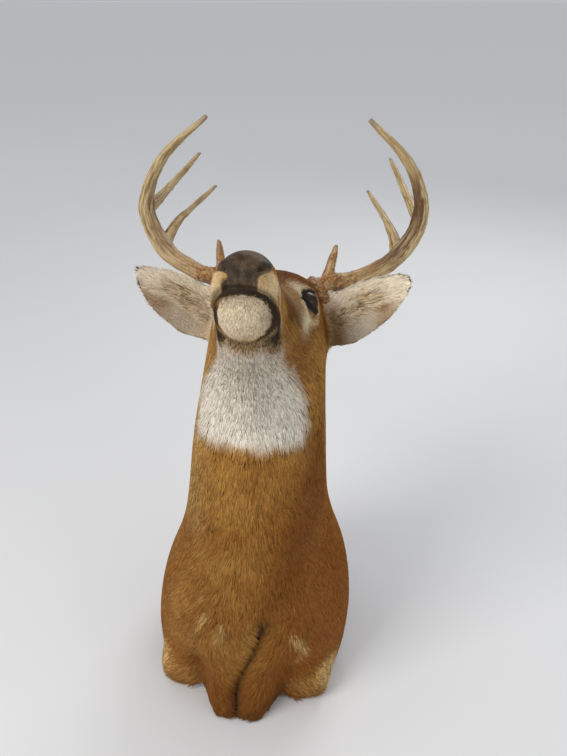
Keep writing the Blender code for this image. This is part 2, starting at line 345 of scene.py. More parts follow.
def smooth_by(piece, weights, repeat):
    """Smooths by a weight for each point. What lies on the floor stays on it, but its outline is evened."""
    on_floor = points_of(piece.data)[:, 2] < FLOOR_BAND
    group = piece.vertex_groups.new(name="smoothing")
    steps = np.round(weights * 10) / 10
    for step in np.unique(steps[steps > 0]):
        group.add(np.nonzero(steps == step)[0].tolist(), float(step), "REPLACE")
    apply_modifier(piece, "SMOOTH", factor=0.5, iterations=repeat, vertex_group="smoothing")
    piece.vertex_groups.clear()
    points = points_of(piece.data)
    points[on_floor, 2] = BACK_LEVEL
    set_points(piece.data, points)


# %% Smooth the facets away
STRONG, GENTLE = 45, 8
points = points_of(skin.data)
z = points[:, 2]
back, up, _ = head_places(points)
free = 1 - in_pocket(points)
ear_share = fall(from_ears(points), 0.003, 0.010)
body_share = fall(z, 0.46, 0.56) * (1 - ear_share) * (0.25 + 0.75 * fade(z, 0.10, 0.17))
throat_share = fade(back, 0.095, 0.135) * fall(up, -0.020, 0.005) * (1 - ear_share)
smooth_by(skin, free * np.maximum(body_share, throat_share), STRONG)
smooth_by(skin, free * (1 - 0.4 * ear_share), GENTLE)
print("smoothed", len(points), "points")

# %% [markdown]
# The face needs finer faces than the body. Selecting the head and the ears and subdividing them once,
# the eyes, nose and mouth once more, and the lids a third time spends the faces only where they show.

# %% Finer faces on the head
def subdivide_where(piece, chosen, repeat):
    """Splits the faces whose centre passes a test, and relaxes the new points."""
    mesh = piece.data
    centres = np.empty(len(mesh.polygons) * 3)
    mesh.polygons.foreach_get("center", centres)
    mask = chosen(centres.reshape(-1, 3))
    only(piece)
    bpy.ops.object.mode_set(mode="EDIT")
    bpy.ops.mesh.select_mode(type="FACE")
    bpy.ops.mesh.select_all(action="DESELECT")
    bpy.ops.object.mode_set(mode="OBJECT")
    mesh.polygons.foreach_set("select", mask)
    bpy.ops.object.mode_set(mode="EDIT")
    bpy.ops.mesh.subdivide(number_cuts=1)
    bpy.ops.mesh.vertices_smooth(factor=0.5, repeat=repeat)
    bpy.ops.object.mode_set(mode="OBJECT")


def eye_distance(points):
    """How far each point is from the middle of the nearer eye."""
    return np.min([np.linalg.norm(points - eye, axis=1) for eye in EYES.values()], axis=0)


def on_face_or_ears(points):
    back, up, _ = head_places(points)
    return (from_ears(points) < 0.006) | ((back < 0.22) & (up > -0.085) & (points[:, 2] > 0.52))


def on_features(points):
    return (eye_distance(points) < 0.030) | (head_places(points)[0] < 0.075)


def on_lids(points):
    return eye_distance(points) < 0.021


subdivide_where(skin, on_face_or_ears, 3)
subdivide_where(skin, on_features, 3)
subdivide_where(skin, on_lids, 2)
skin.data.calc_loop_triangles()
print("skin", len(skin.data.loop_triangles), "triangles")

# %% [markdown]
# ## Shaping the head
#
# The coat stands on the skin, so the skin is first drawn in by the depth of the hair: a few millimetres on
# the body, almost nothing on the nose. Each feature of the face is then one smooth push or pull, placed by
# its distance back from the nose, up from the palate and out to the side: the round chin, the groove of the
# mouth, the comma of each nostril, the tear duct and the bony ridge over the eye.

# %% Draw the skin in by the depth of the coat
MOUTH_UP = -0.0235
MUZZLE_HAIR = 0.0014
EAR_HAIR = 0.0012


def coat_depth(points):
    """How far the tips of the hair stand off the skin, in metres."""
    back, up, _ = head_places(points)
    z = points[:, 2]
    depth = MUZZLE_HAIR + 0.0010 * fade(back, 0.05, 0.16) + 0.0012 * fall(z, 0.40, 0.50)
    depth += 0.0010 * fall(z, 0.08, 0.20)
    depth += (EAR_THICKENING + EAR_HAIR - depth) * fall(from_ears(points), 0.003, 0.010)
    bare = fall(back, 0.016, 0.030) * fade(up, MOUTH_UP - 0.004, MOUTH_UP + 0.004)
    return depth * (1 - bare) * (1 - in_pocket(points))


def creases(points):
    """The depth of the brisket's seam, and of the folds between the brisket and the leg nubs."""
    side = head_places(points)[2]
    fold = bell(np.abs(side), 0.064, 0.011) * fall(points[:, 2], 0.07, 0.15) * (points[:, 1] < -0.09)
    return 0.0052 * on_seam(points, 0.0070) + 0.0075 * fold


points = points_of(skin.data)
drawn_in = coat_depth(points) + creases(points)
push(skin.data, -drawn_in)
smooth_by(skin, fall(from_ears(points), 0.004, 0.008), 16)
print("drawn in by up to", round(float(drawn_in.max()) * 1000, 1), "mm")

# %% Chin, mouth and nostrils
MOUTH_BACK = 0.086
MOUTH_DROP = 0.0075
JAW_TURN = 0.0040
NOSTRIL_OUT = 0.0188
NOSTRIL_SLANT = 0.55


def mouth_height(back):
    """The height of the mouth line above the palate: it runs down a little beside the chin, then level."""
    return MOUTH_UP - MOUTH_DROP * fade(back, 0.014, 0.046)


def shape_muzzle(points, normals):
    """Rounds the chin and the pad, cuts the mouth and the nostrils, and turns the jaw a little aside."""
    back, up, side = head_places(points)
    out = np.abs(side)
    front = fall(back, MOUTH_BACK - 0.010, MOUTH_BACK + 0.004)
    chin = bell(back, 0.030, 0.020) * fall(up, -0.040, -0.026) * bell(side, 0, 0.024)
    under_jaw = bell(back, 0.068, 0.012) * fall(up, -0.046, -0.030)
    groove = bell(up, mouth_height(back), 0.0026) * front
    lip = bell(up, mouth_height(back) - 0.0062, 0.0034) * front
    pad = fall(back, 0.010, 0.024) * fade(up, MOUTH_UP + 0.004, MOUTH_UP + 0.010) * bell(side, 0, 0.020)
    philtrum = bell(side, 0, 0.0016) * fall(back, 0.0, 0.012) * fall(up, -0.010, -0.004)
    philtrum *= fade(up, MOUTH_UP, MOUTH_UP + 0.004)
    hole_up = -0.0030 + NOSTRIL_SLANT * (out - 0.0175)
    near_front = fall(back, 0.012, 0.022)
    hole = bell(out, NOSTRIL_OUT, 0.0044) * bell(up, hole_up, 0.0025) * near_front
    wing = bell(out, 0.0190, 0.0060) * bell(up, hole_up + 0.0062, 0.0030) * near_front
    moved = 0.0040 * chin - 0.0060 * under_jaw - 0.0042 * groove + 0.0016 * lip
    moved += 0.0018 * (pad - philtrum) - 0.0060 * hole + 0.0016 * wing
    turned = JAW_TURN * fall(up, -0.030, -0.018) * fall(back, 0.045, 0.085)
    return points + normals * moved[:, None] + turned[:, None] * (1, 0, 0)


set_points(skin.data, shape_muzzle(points_of(skin.data), normals_of(skin.data)))
print("mouth", MOUTH_BACK, "deep")

# %% [markdown]
# The lids lie on the ball of the glass eye. So places round an eye are measured from the middle of its ball:
# along the slit from the tear duct to the outer corner, over it, and out from the head.

# %% Places round an eye
def eye_places(points, label):
    """(along, height, radius, facing, outward) round an eye.

    Along runs from tear duct to outer corner, height over the slit, and facing out from the head. Radius is
    the distance from the middle of the ball, and outward is the direction in which the eye looks.
    """
    sign = SIGNS[label]
    outward = unit(np.array((sign * 0.90, 0, 0)) + UP * 0.22 - BACK * 0.34)
    along = unit(BACK - outward * (BACK @ outward))
    height = np.cross(along, outward) * -sign
    from_eye = points - EYES[label]
    return from_eye @ along, from_eye @ height, np.linalg.norm(from_eye, axis=1), from_eye @ outward, outward


ALMOND_HALF_LENGTH = 0.0172
ALMOND_ABOVE = 0.0108
ALMOND_BELOW = 0.0125
NOT_NEAR_AN_EYE = 9.0


def lid_reach(points):
    """1 on an almond round the slit of the nearer eye, and more outside it."""
    reach = []
    for label in SIGNS:
        along, height, radius, facing, _ = eye_places(points, label)
        close = (facing > 0) & (radius < 2 * EYE_RADIUS)
        half_height = np.where(height > 0, ALMOND_ABOVE, ALMOND_BELOW)
        almond = np.hypot(along / ALMOND_HALF_LENGTH, height / half_height)
        reach.append(np.where(close, almond, NOT_NEAR_AN_EYE))
    return np.min(reach, axis=0)


# %% Eye sockets, lids and tear ducts
LID_HALF_LENGTH = 0.0148
LID_HALF_HEIGHT = 0.0082
LID_THICKNESS = 0.0016
SLIT_DEPTH = 0.0028


def shape_eye(points, label):
    """Lays the lids on the glass, opens the slit between them, and hollows the tear duct."""
    along, height, radius, facing, outward = eye_places(points, label)
    half_slit = np.where(height > 0, LID_HALF_HEIGHT * 1.05, LID_HALF_HEIGHT * 0.80)
    half_slit = half_slit * np.clip(1 - (along / LID_HALF_LENGTH) ** 2, 0, 1) ** 0.6 + 1e-5
    between_corners = np.abs(along) < LID_HALF_LENGTH
    inside = fall(np.abs(height) / half_slit, 0.86, 1.06) * between_corners
    rim = bell(np.abs(height) / half_slit, 1.22, 0.20) * between_corners
    wanted = (EYE_RADIUS + LID_THICKNESS) * (1 - inside) + (EYE_RADIUS - SLIT_DEPTH) * inside
    wanted += 0.0010 * rim * (1 - inside)
    wanted = np.maximum(wanted, np.where(inside > 0.5, 0, radius - 0.004))
    on_ball = EYES[label] + unit(points - EYES[label]) * wanted[:, None]
    near = (facing > 0) * fall(np.hypot(along, height), 0.0165, 0.0260)
    points = points + (on_ball - points) * near[:, None]
    duct = bell(along, -0.0225, 0.0060) * bell(height, -0.0035, 0.0024) * (facing > 0)
    brow = bell(along, 0.002, 0.016) * bell(height, 0.0165, 0.0050) * (facing > 0)
    return points + outward * (0.0028 * brow - 0.0035 * duct)[:, None]


for label in SIGNS:
    set_points(skin.data, shape_eye(points_of(skin.data), label))
smooth_by(skin, fall(eye_distance(points_of(skin.data)), 0.021, 0.026), 2)
print("lids round", len(EYES), "eyes")

# %% [markdown]
# ## Antlers
#
# An antler is bone, with ridges and grooves that run along it, a rough coronet called the burr round its
# foot, and small pearls above that. Its solid lengths and tines are melted into one body as the skin was.
# To carve ridges that follow the curve, each point is given its place on the straightened antler: how far
# along it lies, and where round its core. The cores are smooth curves through the same places as the solids.

# %% The cores of the beams and tines
BEAM_PATH = ((0.036, -0.004, 0.577), (0.067, 0.012, 0.602), (0.103, 0.030, 0.604), (0.152, 0.050, 0.626),
             (0.178, 0.061, 0.678), (0.156, 0.069, 0.738), (0.098, 0.076, 0.789))
TINES = {
    "brow_tine": (0.160, ((0.070, 0.023, 0.626), (0.074, 0.028, 0.648))),
    "g2_tine": (0.51, ((0.144, 0.092, 0.650), (0.107, 0.164, 0.680))),
    "g3_tine": (0.65, ((0.161, 0.106, 0.689), (0.134, 0.177, 0.721))),
}
CORE_STEPS = 160
# Both antlers stand a little closer together than the path, the left one most.
SPREAD = {1: 0.972, -1: 0.988}


def smooth_curve(path, count):
    """Evenly numbered points of a Catmull-Rom curve through a path."""
    path = np.array(path)
    ends = np.vstack([2 * path[0] - path[1], path, 2 * path[-1] - path[-2]])
    place = np.linspace(0, len(path) - 1, count)
    k = np.minimum(place.astype(int), len(path) - 2)
    t = (place - k)[:, None]
    before, a, b, after = (ends[k + j] for j in range(4))
    slope_a, slope_b = (b - before) / 2, (after - a) / 2
    return (
        (2 * t**3 - 3 * t**2 + 1) * a + (t**3 - 2 * t**2 + t) * slope_a
        + (3 * t**2 - 2 * t**3) * b + (t**3 - t**2) * slope_b
    )


def reach_along(core):
    """How far along a core each of its points lies."""
    return np.concatenate([[0], np.cumsum(np.linalg.norm(np.diff(core, axis=0), axis=1))])


def cores(sign):
    """The core curves of one antler, each as (points, distance of its root along the beam)."""
    beam = smooth_curve(BEAM_PATH, CORE_STEPS)
    reach = reach_along(beam)
    made = [(beam, 0.0)]
    for share, ends in TINES.values():
        root = round(share * (CORE_STEPS - 1))
        made.append((smooth_curve((beam[root], *ends), CORE_STEPS // 2), reach[root]))
    leaning = []
    for core, start in made:
        spread = 1 + (SPREAD[sign] - 1) * fade(core[:, 0], 0.05, 0.14)
        core = core * np.stack([sign * spread, np.ones(len(core)), np.ones(len(core))], axis=1)
        core[:, 0] += LEAN * core[:, 2]
        leaning.append((core, start))
    return leaning, reach


print("beam", round(float(cores(1)[1][-1]), 3), "long")

# %% The straightened antler
# Where a tine leaves the beam, a point counts as the beam's unless the tine is clearly nearer.
TINE_HANDICAP = 1.25


def straightened(points, sign):
    """(along, angle, share of the way to the tip, is it a tine) for points on an antler."""
    best = np.full(len(points), np.inf)
    along, angle, share, tine = (np.zeros(len(points)) for _ in range(4))
    for number, (core, start) in enumerate(cores(sign)[0]):
        length = reach_along(core)
        nearest = np.argmin(((points[:, None, :] - core[None]) ** 2).sum(axis=2), axis=1)
        out = points - core[nearest]
        distance = np.linalg.norm(out, axis=1) * (TINE_HANDICAP if number else 1.0)
        ahead = unit(np.gradient(core, axis=0))[nearest]
        across = unit(np.cross(ahead, (0.3, 1.0, 0.1)))
        turn = np.arctan2((out * np.cross(ahead, across)).sum(axis=1), (out * across).sum(axis=1))
        closer = distance < best
        best = np.where(closer, distance, best)
        along = np.where(closer, start + length[nearest], along)
        angle = np.where(closer, turn, angle)
        share = np.where(closer, length[nearest] / length[-1], share)
        tine = np.where(closer, number > 0, tine)
    return along, angle, share, tine


# %% Carve an antler
GRAIN_RADIUS = 0.011
GRAIN_STRETCH = (1, 1, 0.16)
BURR_SHARE = 0.105
# The inner side of the left beam is stained the darker.
STAINED = {1: 1.35, -1: 0.45}


def carve(mesh, sign):
    """Ridges, lumps, pearls and a coronet on a smooth antler, and what its finish needs to know of them."""
    points = points_of(mesh)
    along, angle, share, tine = straightened(points, sign)
    grain = np.stack([np.cos(angle) * GRAIN_RADIUS, np.sin(angle) * GRAIN_RADIUS, along], axis=1)
    beyond = along - cores(sign)[1][round(BURR_SHARE * (CORE_STEPS - 1))]
    foot = fall(beyond, 0.006, 0.080)
    stretched = grain * GRAIN_STRETCH
    ridges = 0.00055 * ripple(stretched, 0.0065, 3) + 0.00035 * ripple(stretched, 0.0032, 4)
    ridges *= 1 - 0.6 * foot
    lumps = 0.0005 * ripple(grain, 0.030, 5)
    taper = 1 - 0.75 * fade(share, 0.55, 1.0)
    pearls = 0.0015 * np.clip(ripple(grain * (1, 1, 0.8), 0.0040, 6), -0.3, 1) * foot
    coronet = 0.0030 * bell(beyond, 0.003, 0.0050) * (0.75 + 0.6 * np.clip(ripple(grain, 0.0050, 7), -1, 1))
    swelling = 0.0014 * bell(beyond, 0.004, 0.018)
    blunt = 0.0013 * fade(share, 0.45, 0.90) * np.where(tine > 0, 1.0, 0.5)
    push(mesh, (ridges + lumps - 0.0004) * taper + (pearls + coronet + swelling) * (1 - tine) + blunt)
    low = fall(beyond, 0.008, 0.110)
    hollow = np.clip(-(ridges + 0.5 * lumps) / 0.0009, 0, 1)
    tip = fade(share, 0.93, 0.99)
    inside = fade(normals_of(mesh)[:, 0] * -sign, -0.5, 0.2) * bell(share, 0.53, 0.20) * (1 - tine)
    store(mesh, "grain", *grain.T)
    store(mesh, "wear", low, hollow, tip)
    store(mesh, "stain", inside * STAINED[sign])


# %% Melt the lengths and tines of each antler
ANTLER_VOXEL = 0.0017


def antler(label, sign):
    names = [f"antler_{label}_{part}" for part in ("base", "beam", "tip", *TINES)]
    pieces = [copy_of_node(name) for name in names]
    for piece in pieces:
        apply_modifier(piece, "DISPLACE", strength=0.0004, mid_level=0.0)
    made = join_as(f"antler_{label}", pieces)
    apply_modifier(made, "REMESH", mode="VOXEL", voxel_size=ANTLER_VOXEL)
    apply_modifier(made, "SMOOTH", factor=0.5, iterations=10)
    carve(made.data, sign)
    only(made)
    bpy.ops.object.shade_smooth()
    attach(made, "root")
    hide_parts(*names)
    print(made.name, len(made.data.polygons), "faces")
    return made


antlers = [antler(label, sign) for label, sign in SIGNS.items()]

# %% [markdown]
# ## Markings
#
# A whitetail in its short autumn coat is golden tan, with a white throat and chin, pale rings round eye and
# muzzle, dark edges to the ears and a dark seam down the brisket, where the hide was sewn. Each marking is
# a mask from 0 to 1, written from places on the body, so that the skin and the hair over it share it. They
# could be painted as a picture, but a mask can be moved a little without being painted again.

# %% The white throat
def at_front(points):
    """1 on the front of the neck and chest."""
    return fall(points[:, 1], -0.078, -0.060)


def throat_masks(points):
    """(white, the grey hair and painted shadow under the chin in its upper part)."""
    back, up, side = head_places(points)
    z = points[:, 2]
    waver = 0.0022 * ripple(points, 0.024, 21)
    left_edge = 0.031 + 0.028 * fall(z, 0.47, 0.60)
    right_edge = 0.043 + 0.023 * fall(z, 0.49, 0.60)
    beyond_edge = np.where(side > 0, side - left_edge, -side - right_edge)
    lower_edge = 0.467 - 0.009 * (side / 0.055) ** 2
    behind_jaw = back - 0.030 * fade(np.abs(side), 0.016, 0.034)
    white = fade(z + waver, lower_edge, lower_edge + 0.014) * fall(beyond_edge + waver, -0.005, 0.007)
    white *= at_front(points) * fall(up, -0.030, -0.014) * fade(behind_jaw, 0.064, 0.084)
    # Painted shadow: the upper white of the throat is greyed. This is partly its own grey hair and partly
    # painted shadow cast by the chin.
    return white, 0.34 * white * fade(z, 0.50, 0.60)


# %% The brisket's dark hair and painted shade
def brisket_masks(points):
    """(the seam's dark line, a band up the left side, and all of the brown: hair, with painted shade at the
    foot of the brisket and beside the seam).
    """
    side = head_places(points)[2]
    z = points[:, 2]
    from_seam = seam_side(points)
    seam = on_seam(points, 0.0070) * np.clip(0.95 + 0.5 * ripple(points, 0.012, 23), 0.3, 1)
    band = bell(side, 0.044 + 0.22 * np.clip(z - 0.25, -0.05, 0.2), 0.026) * at_front(points)
    band *= 0.55 * between(z, 0.20, 0.27, 0.44, 0.50)
    # Painted shade: the foot of the brisket near the floor is painted dark brown, all but its lowest tip. A
    # wider dark brown strip beside the seam is painted shade along its groove.
    foot_shade = fall(z, 0.020, 0.085) * (np.abs(side) < 0.060) * at_front(points)
    foot_shade *= (0.70 + 0.3 * fade(from_seam, -0.002, 0.010)) * (1 - 0.5 * bell(from_seam, -0.016, 0.012))
    foot_shade *= 1 - 0.75 * fall(z, 0.010, 0.040)
    seam_shade = on_seam(points, 0.0150 + 0.0130 * fall(z, 0.05, 0.13))
    left_shoulder = 0.16 * fall(z, 0.28, 0.42) * fade(side, -0.09, -0.02)
    return seam, band, np.max([band, foot_shade, seam_shade, left_shoulder], axis=0)


# %% Straw cowlicks and leg nubs
COWLICKS = (
    ((-0.0285, -0.1849, 0.2620), (-0.0430, -0.1824, 0.2330), 0.0036),
    ((-0.0245, -0.1909, 0.2360), (-0.0520, -0.1850, 0.1800), 0.0042),
    ((-0.0055, -0.1970, 0.2240), (-0.0200, -0.1970, 0.1870), 0.0042),
    ((0.0789, -0.1779, 0.1942), (0.0986, -0.1607, 0.1296), 0.0048),
    ((0.0892, -0.1707, 0.1420), (0.0740, -0.1714, 0.1180), 0.0040),
)


def near_line(points, start, end, width):
    """1 on the straight line between two places, fading towards its end, and to 0 a width away."""
    start, end = np.array(start), np.array(end)
    run = end - start
    t = np.clip((points - start) @ run / (run @ run), 0, 1)
    away = np.linalg.norm(points - start - t[:, None] * run, axis=1)
    return 1.15 * np.exp(-((away / width) ** 2)) * np.sqrt(np.clip(1.15 - t, 0, 1))


def straw_mask(points):
    """Straw-coloured hair: in the cowlicks, along the right of the neck, and on the leg nubs."""
    side = head_places(points)[2]
    straw = sum(near_line(points, *line) for line in COWLICKS)
    straw = straw + 0.36 * fall(side, -0.075, -0.025) * between(points[:, 2], 0.30, 0.38, 0.56, 0.62)
    for sign, middle in NUBS.items():
        outer = (points[:, 0] - middle[0]) * sign + 0.25 * (points[:, 2] - middle[2])
        close = fall(np.linalg.norm(points - middle, axis=1), 0.026, 0.060)
        straw = straw + 1.1 * close * (0.25 + 0.75 * fade(outer, -0.004, 0.024))
    return straw


# %% All masks of the body
def body_masks(points):
    """(white, grey hair and painted shadow of the upper throat, seam, brown hair and painted shade, rust,
    straw).
    """
    side = head_places(points)[2]
    z = points[:, 2]
    white, smoke_and_shadow = throat_masks(points)
    seam, band, brown = brisket_masks(points)
    rust = fall(z, 0.05, 0.21) * 0.75 + 0.30 * fade(np.abs(side), 0.06, 0.13) * (z < 0.45)
    rust += 0.70 * fade(side, 0.015, 0.075) * fall(z, 0.36, 0.50) + 0.5 * band
    return white, smoke_and_shadow, seam, brown, np.clip(rust, 0, 1), np.clip(straw_mask(points), 0, 1)


# %% Chin and mouth
CHIN = np.array((0.012, -0.047, 0.0055))
CHIN_HALF = np.array((0.0262, 0.0240, 0.0290))


def chin_and_mouth(points):
    """(chin, dark lips and jaw line, grizzled brown below the chin)."""
    back, up, side = head_places(points)
    out = np.abs(side)
    blotches = np.clip(0.75 + 0.6 * ripple(points, 0.010, 43), 0, 1)
    chin_reach = (((np.stack([back, up, side], axis=1) - CHIN) / CHIN_HALF) ** 2).sum(axis=1)
    chin_reach += 0.10 * ripple(points, 0.006, 41)
    chin = fall(chin_reach, 0.85, 1.15) * fall(up, -0.0290, -0.0250)
    # Painted shade: the chin's pale is cut back on the deer's left side and further back under the jaw, the
    # parts turned away from the light.
    chin *= 1 - 0.24 * fade(side, -0.010, 0.030) - 0.26 * fade(back, 0.018, 0.036)
    chin *= 1 - 0.6 * bell(side, 0.006, 0.006) * fade(back, 0.025, 0.034)
    ring = between(chin_reach, 0.85, 1.05, 1.35, 2.10) * fall(up, -0.026, -0.020)
    ring *= fall(back, 0.045, 0.070) * (0.35 + 0.65 * fade(out, 0.012, 0.024)) * (0.6 + 0.4 * blotches)
    ring *= 0.55 + 0.45 * fade(side, -0.020, 0.015)
    mouth = bell(up, mouth_height(back) - 0.0012, 0.0042) * fall(back, MOUTH_BACK, MOUTH_BACK + 0.01)
    front_lip = between(up, -0.0285, -0.0255, -0.017, -0.012) * fall(out, 0.014, 0.018) * (back < 0.02)
    jaw = bell(up, -0.0325, 0.0085) * between(back, 0.008, 0.022, 0.070, 0.105)
    jaw *= (out > 0.018) * (0.65 + 0.35 * blotches)
    behind_chin = back - 0.028 * fade(out, 0.016, 0.034)
    below = fade(back, 0.034, 0.041) * fall(behind_chin, 0.062, 0.090) * fall(up, -0.032, -0.024)
    return chin, np.clip(ring + mouth + front_lip + jaw, 0, 1), below * (0.55 + 0.45 * blotches)


# %% Cream and brown of the face
def cream_places(points):
    """(all cream places, the lips alone): lips, muzzle, stripe over the jaw, eye ring, cheek and brow."""
    back, up, side = head_places(points)
    out = np.abs(side)
    lips = bell(back, 0.010, 0.017) * between(up, -0.0235, -0.0200, -0.004, 0.004) * fade(out, 0.010, 0.013)
    muzzle_band = bell(back, 0.026, 0.008) * fade(up, 0.012, 0.020) * 0.45
    stripe_up = -0.0215 + 0.0165 * fall(back, 0.028, 0.048)
    stripe = bell(up, stripe_up, 0.0042) * between(back, 0.024, 0.032, 0.055, 0.090)
    stripe *= 0.60 * fade(out, 0.020, 0.028)
    eye_ring = bell(lid_reach(points), 1.65, 0.30) * 0.50
    cheek = bell(back, 0.152, 0.016) * bell(up, 0.022, 0.012) * fade(out, 0.030, 0.040)
    brow = bell(back, 0.143, 0.020) * bell(up, 0.054, 0.010) * fade(out, 0.022, 0.032) * 0.75
    before_eye = bell(back, 0.108, 0.022) * bell(up, 0.034, 0.012) * 0.22
    return np.clip(0.5 * lips + muzzle_band + stripe + eye_ring + cheek + brow + before_eye, 0, 1), lips


def brown_places(points):
    """Brown of the bridge, the spot behind each lip, the cheek stripe, and strands along the face."""
    back, up, side = head_places(points)
    out = np.abs(side)
    bridge = fade(up, 0.014, 0.030) * fade(back, 0.030, 0.050) * fall(out, 0.016, 0.032) * 0.75
    spot = bell(back, 0.030, 0.011) * bell(up, 0.006, 0.013) * fade(out, 0.020, 0.028)
    spot += bell(back, 0.102, 0.011) * bell(up, 0.014, 0.019) * fade(out, 0.024, 0.032)
    stripe = bell(up, 0.013 + 0.02 * (back - 0.06), 0.0085) * between(back, 0.062, 0.080, 0.130, 0.155)
    strands = np.stack([back * 0.16, up, side], axis=1)
    strands = np.clip(0.35 + 0.9 * ripple(strands, 0.0075, 42), 0, 1) * fade(back, 0.05, 0.09)
    return np.clip(bridge + spot + 0.8 * stripe + 0.45 * strands, 0, 1) * fall(back, 0.20, 0.27)


# %% All masks of the head
def head_masks(points):
    """(chin, cream, dark, grizzle, brown, crown, lips)."""
    back, up, _ = head_places(points)
    chin, dark, grizzle = chin_and_mouth(points)
    lashes = fall(lid_reach(points), 1.08, 1.28)
    crown = fade(up, 0.064, 0.078) * between(back, 0.130, 0.150, 0.20, 0.23)
    brown = np.clip(brown_places(points) + 0.50 * crown, 0, 1)
    cream, lips = cream_places(points)
    masks = (0.85 * chin, cream, np.clip(dark + lashes, 0, 1), grizzle, brown, crown, lips)
    return [mask * fade(points[:, 2], 0.53, 0.56) for mask in masks]


# %% [markdown]
# An ear is read flat: how far from root to tip, how high above its middle line, and whether the skin there
# faces into the cup. Inside it is pale, with folds and a tan root; its rim and its back are dark.

# %% Ears and their faces
def ear_facts(points, normals):
    """(is it an ear, share of the way to the tip, height across it, does it face into the cup)."""
    side = head_places(points)[2]
    in_ear = fall(from_ears(points), 0.0045, 0.0085)
    share, height, inner = (np.zeros(len(points)) for _ in range(3))
    for sign in SIGNS.values():
        root, length, along, opening, upward = ear_frame(sign)
        mine = side * sign > 0
        share = np.where(mine, (points - root) @ along / length, share)
        height = np.where(mine, (points - root) @ upward - ear_lift(share), height)
        inner = np.where(mine, fade(normals @ opening, -0.60, -0.20), inner)
    return in_ear, share, height, inner


def ear_masks(points, normals):
    """The masks of the ears by name. The dark edges leave only a share of the white and of the cream."""
    in_ear, share, height, inner = ear_facts(points, normals)
    cup, ear_back = in_ear * inner, in_ear * (1 - inner)
    fold = 0.5 + 0.5 * ripple(np.stack([share * 0.05, height, inner * 0.01], axis=1), 0.0060, 44)
    hollow = np.clip(bell(share, 0.44, 0.26) * bell(height, -0.008, 0.013) * (0.35 + 1.1 * fold), 0, 1)
    root_tan = fall(share - 0.10 * (head_places(points)[2] > 0), 0.06, 0.22)
    lower_edge = fall(height, -0.022, -0.013) * between(share, 0.42, 0.60, 0.90, 0.97)
    lower_edge *= 0.35 + 0.65 * (0.5 + 0.5 * ripple(points, 0.035, 22))
    pale_edge = fall(height, -0.024, 0.006) * fall(share, 0.75, 0.95)
    rim = fade(height, 0.0235, 0.0275) * fade(share, 0.30, 0.5) * (1 - np.abs(2 * inner - 1) ** 8)
    rim += fade(share, 0.920, 0.965)
    return {
        "ear": in_ear,
        "white": 0.70 * cup * (1 - hollow) * (1 - root_tan),
        "cream": cup * (1 - 0.30 * hollow) * (1 - 0.7 * root_tan) + 0.45 * ear_back * pale_edge,
        "dark": in_ear * np.clip(rim, 0, 1) * 0.95 + ear_back * 0.15 * fade(share, 0.5, 0.9),
        "rust": in_ear * (1.1 * lower_edge + 0.9 * root_tan),
        "brown": 0.45 * ear_back * (1 - pale_edge) + 0.35 * cup * root_tan + 0.15 * in_ear * lower_edge,
        "grizzle": 0.85 * cup * hollow,
        "white left": 1 - in_ear * np.clip(lower_edge + rim, 0, 1),
        "cream left": 1 - in_ear * np.clip(lower_edge * 0.8 + rim, 0, 1),
    }


# %% All markings of a point
def markings(points, normals):
    """The masks under the names that the finishes read, up to three to a name."""
    white, smoke_and_shadow, seam, body_brown_and_shade, body_rust, straw = body_masks(points)
    chin, cream, dark, grizzle, head_brown, crown, lips = head_masks(points)
    ears = ear_masks(points, normals)
    body = 1 - ears["ear"]
    all_white = (np.maximum(white, 0.30 * chin) * body + ears["white"]) * ears["white left"]
    all_cream = (np.clip(body * (cream + chin), 0, 1) + ears["cream"]) * ears["cream left"]
    all_dark = np.clip(body * (dark + seam), 0, 1) + ears["dark"]
    all_rust = body * np.clip(body_rust + 0.9 * crown, 0, 1) + ears["rust"]
    all_brown_and_shade = body * np.clip(body_brown_and_shade + head_brown, 0, 1) + ears["brown"]
    # The grizzle carries real grizzled hair, and also the grey hair and painted shadow of the upper throat.
    all_grizzle_and_shadow = body * np.max([grizzle, smoke_and_shadow, 0.22 * chin], axis=0) + ears["grizzle"]
    all_straw = body * np.clip(straw + 0.8 * lips, 0, 1)
    groups = {
        "marks": (all_white, all_cream, all_dark),
        "tones": (all_rust, all_brown_and_shade, all_grizzle_and_shadow),
        "hints": (all_straw, ears["ear"]),
    }
    return {name: [np.clip(mask, 0, 1) for mask in masks] for name, masks in groups.items()}


# %% Mark the skin
def beside_pad(up, side):
    """How far a place lies beside the bare nose pad, which is wide over the nostrils, narrow at the lip."""
    lean = 0.0030 * fall(up, -0.014, 0.000)
    return np.abs(side - lean) - 0.0138 - 0.0120 * fade(up, -0.014, 0.000)


points = points_of(skin.data)
back, up, side = head_places(points)
bare_nose = fall(back, 0.0120, 0.0175) * fade(up, MOUTH_UP + 0.0015, MOUTH_UP + 0.0050)
bare_nose *= fall(beside_pad(up, side), -0.0010, 0.0012)
store(skin.data, "bare", bare_nose, fall(lid_reach(points), 1.00, 1.15))
for name, masks in markings(points, normals_of(skin.data)).items():
    store(skin.data, name, *masks)
print("markings on", len(points), "points")

# %% [markdown]
# ## A helper for finishes
#
# A finish is sums and mixes of patterns. The class below wraps a shader socket, so that a pattern can be
# written as a Python expression, such as 1 - mask * 0.5, and each sign adds its Math node. Wiring nodes one
# by one gives the same result in five times the lines.

# %% Sockets that can be added and multiplied
class Wire:
    """A socket of a material that takes part in sums."""

    def __init__(self, finish, socket):
        self.finish = finish
        self.socket = socket

    def sum_with(self, operation, first, second):
        return self.finish.node("Math", {"operation": operation}, {0: first, 1: second})

    def __add__(self, other):
        return self.sum_with("ADD", self, other)

    def __radd__(self, other):
        return self.sum_with("ADD", other, self)

    def __sub__(self, other):
        return self.sum_with("SUBTRACT", self, other)

    def __rsub__(self, other):
        return self.sum_with("SUBTRACT", other, self)

    def __mul__(self, other):
        return self.sum_with("MULTIPLY", self, other)

    def __rmul__(self, other):
        return self.sum_with("MULTIPLY", other, self)

    def limited(self):
        return self.finish.node("Clamp", {}, {"Value": self})


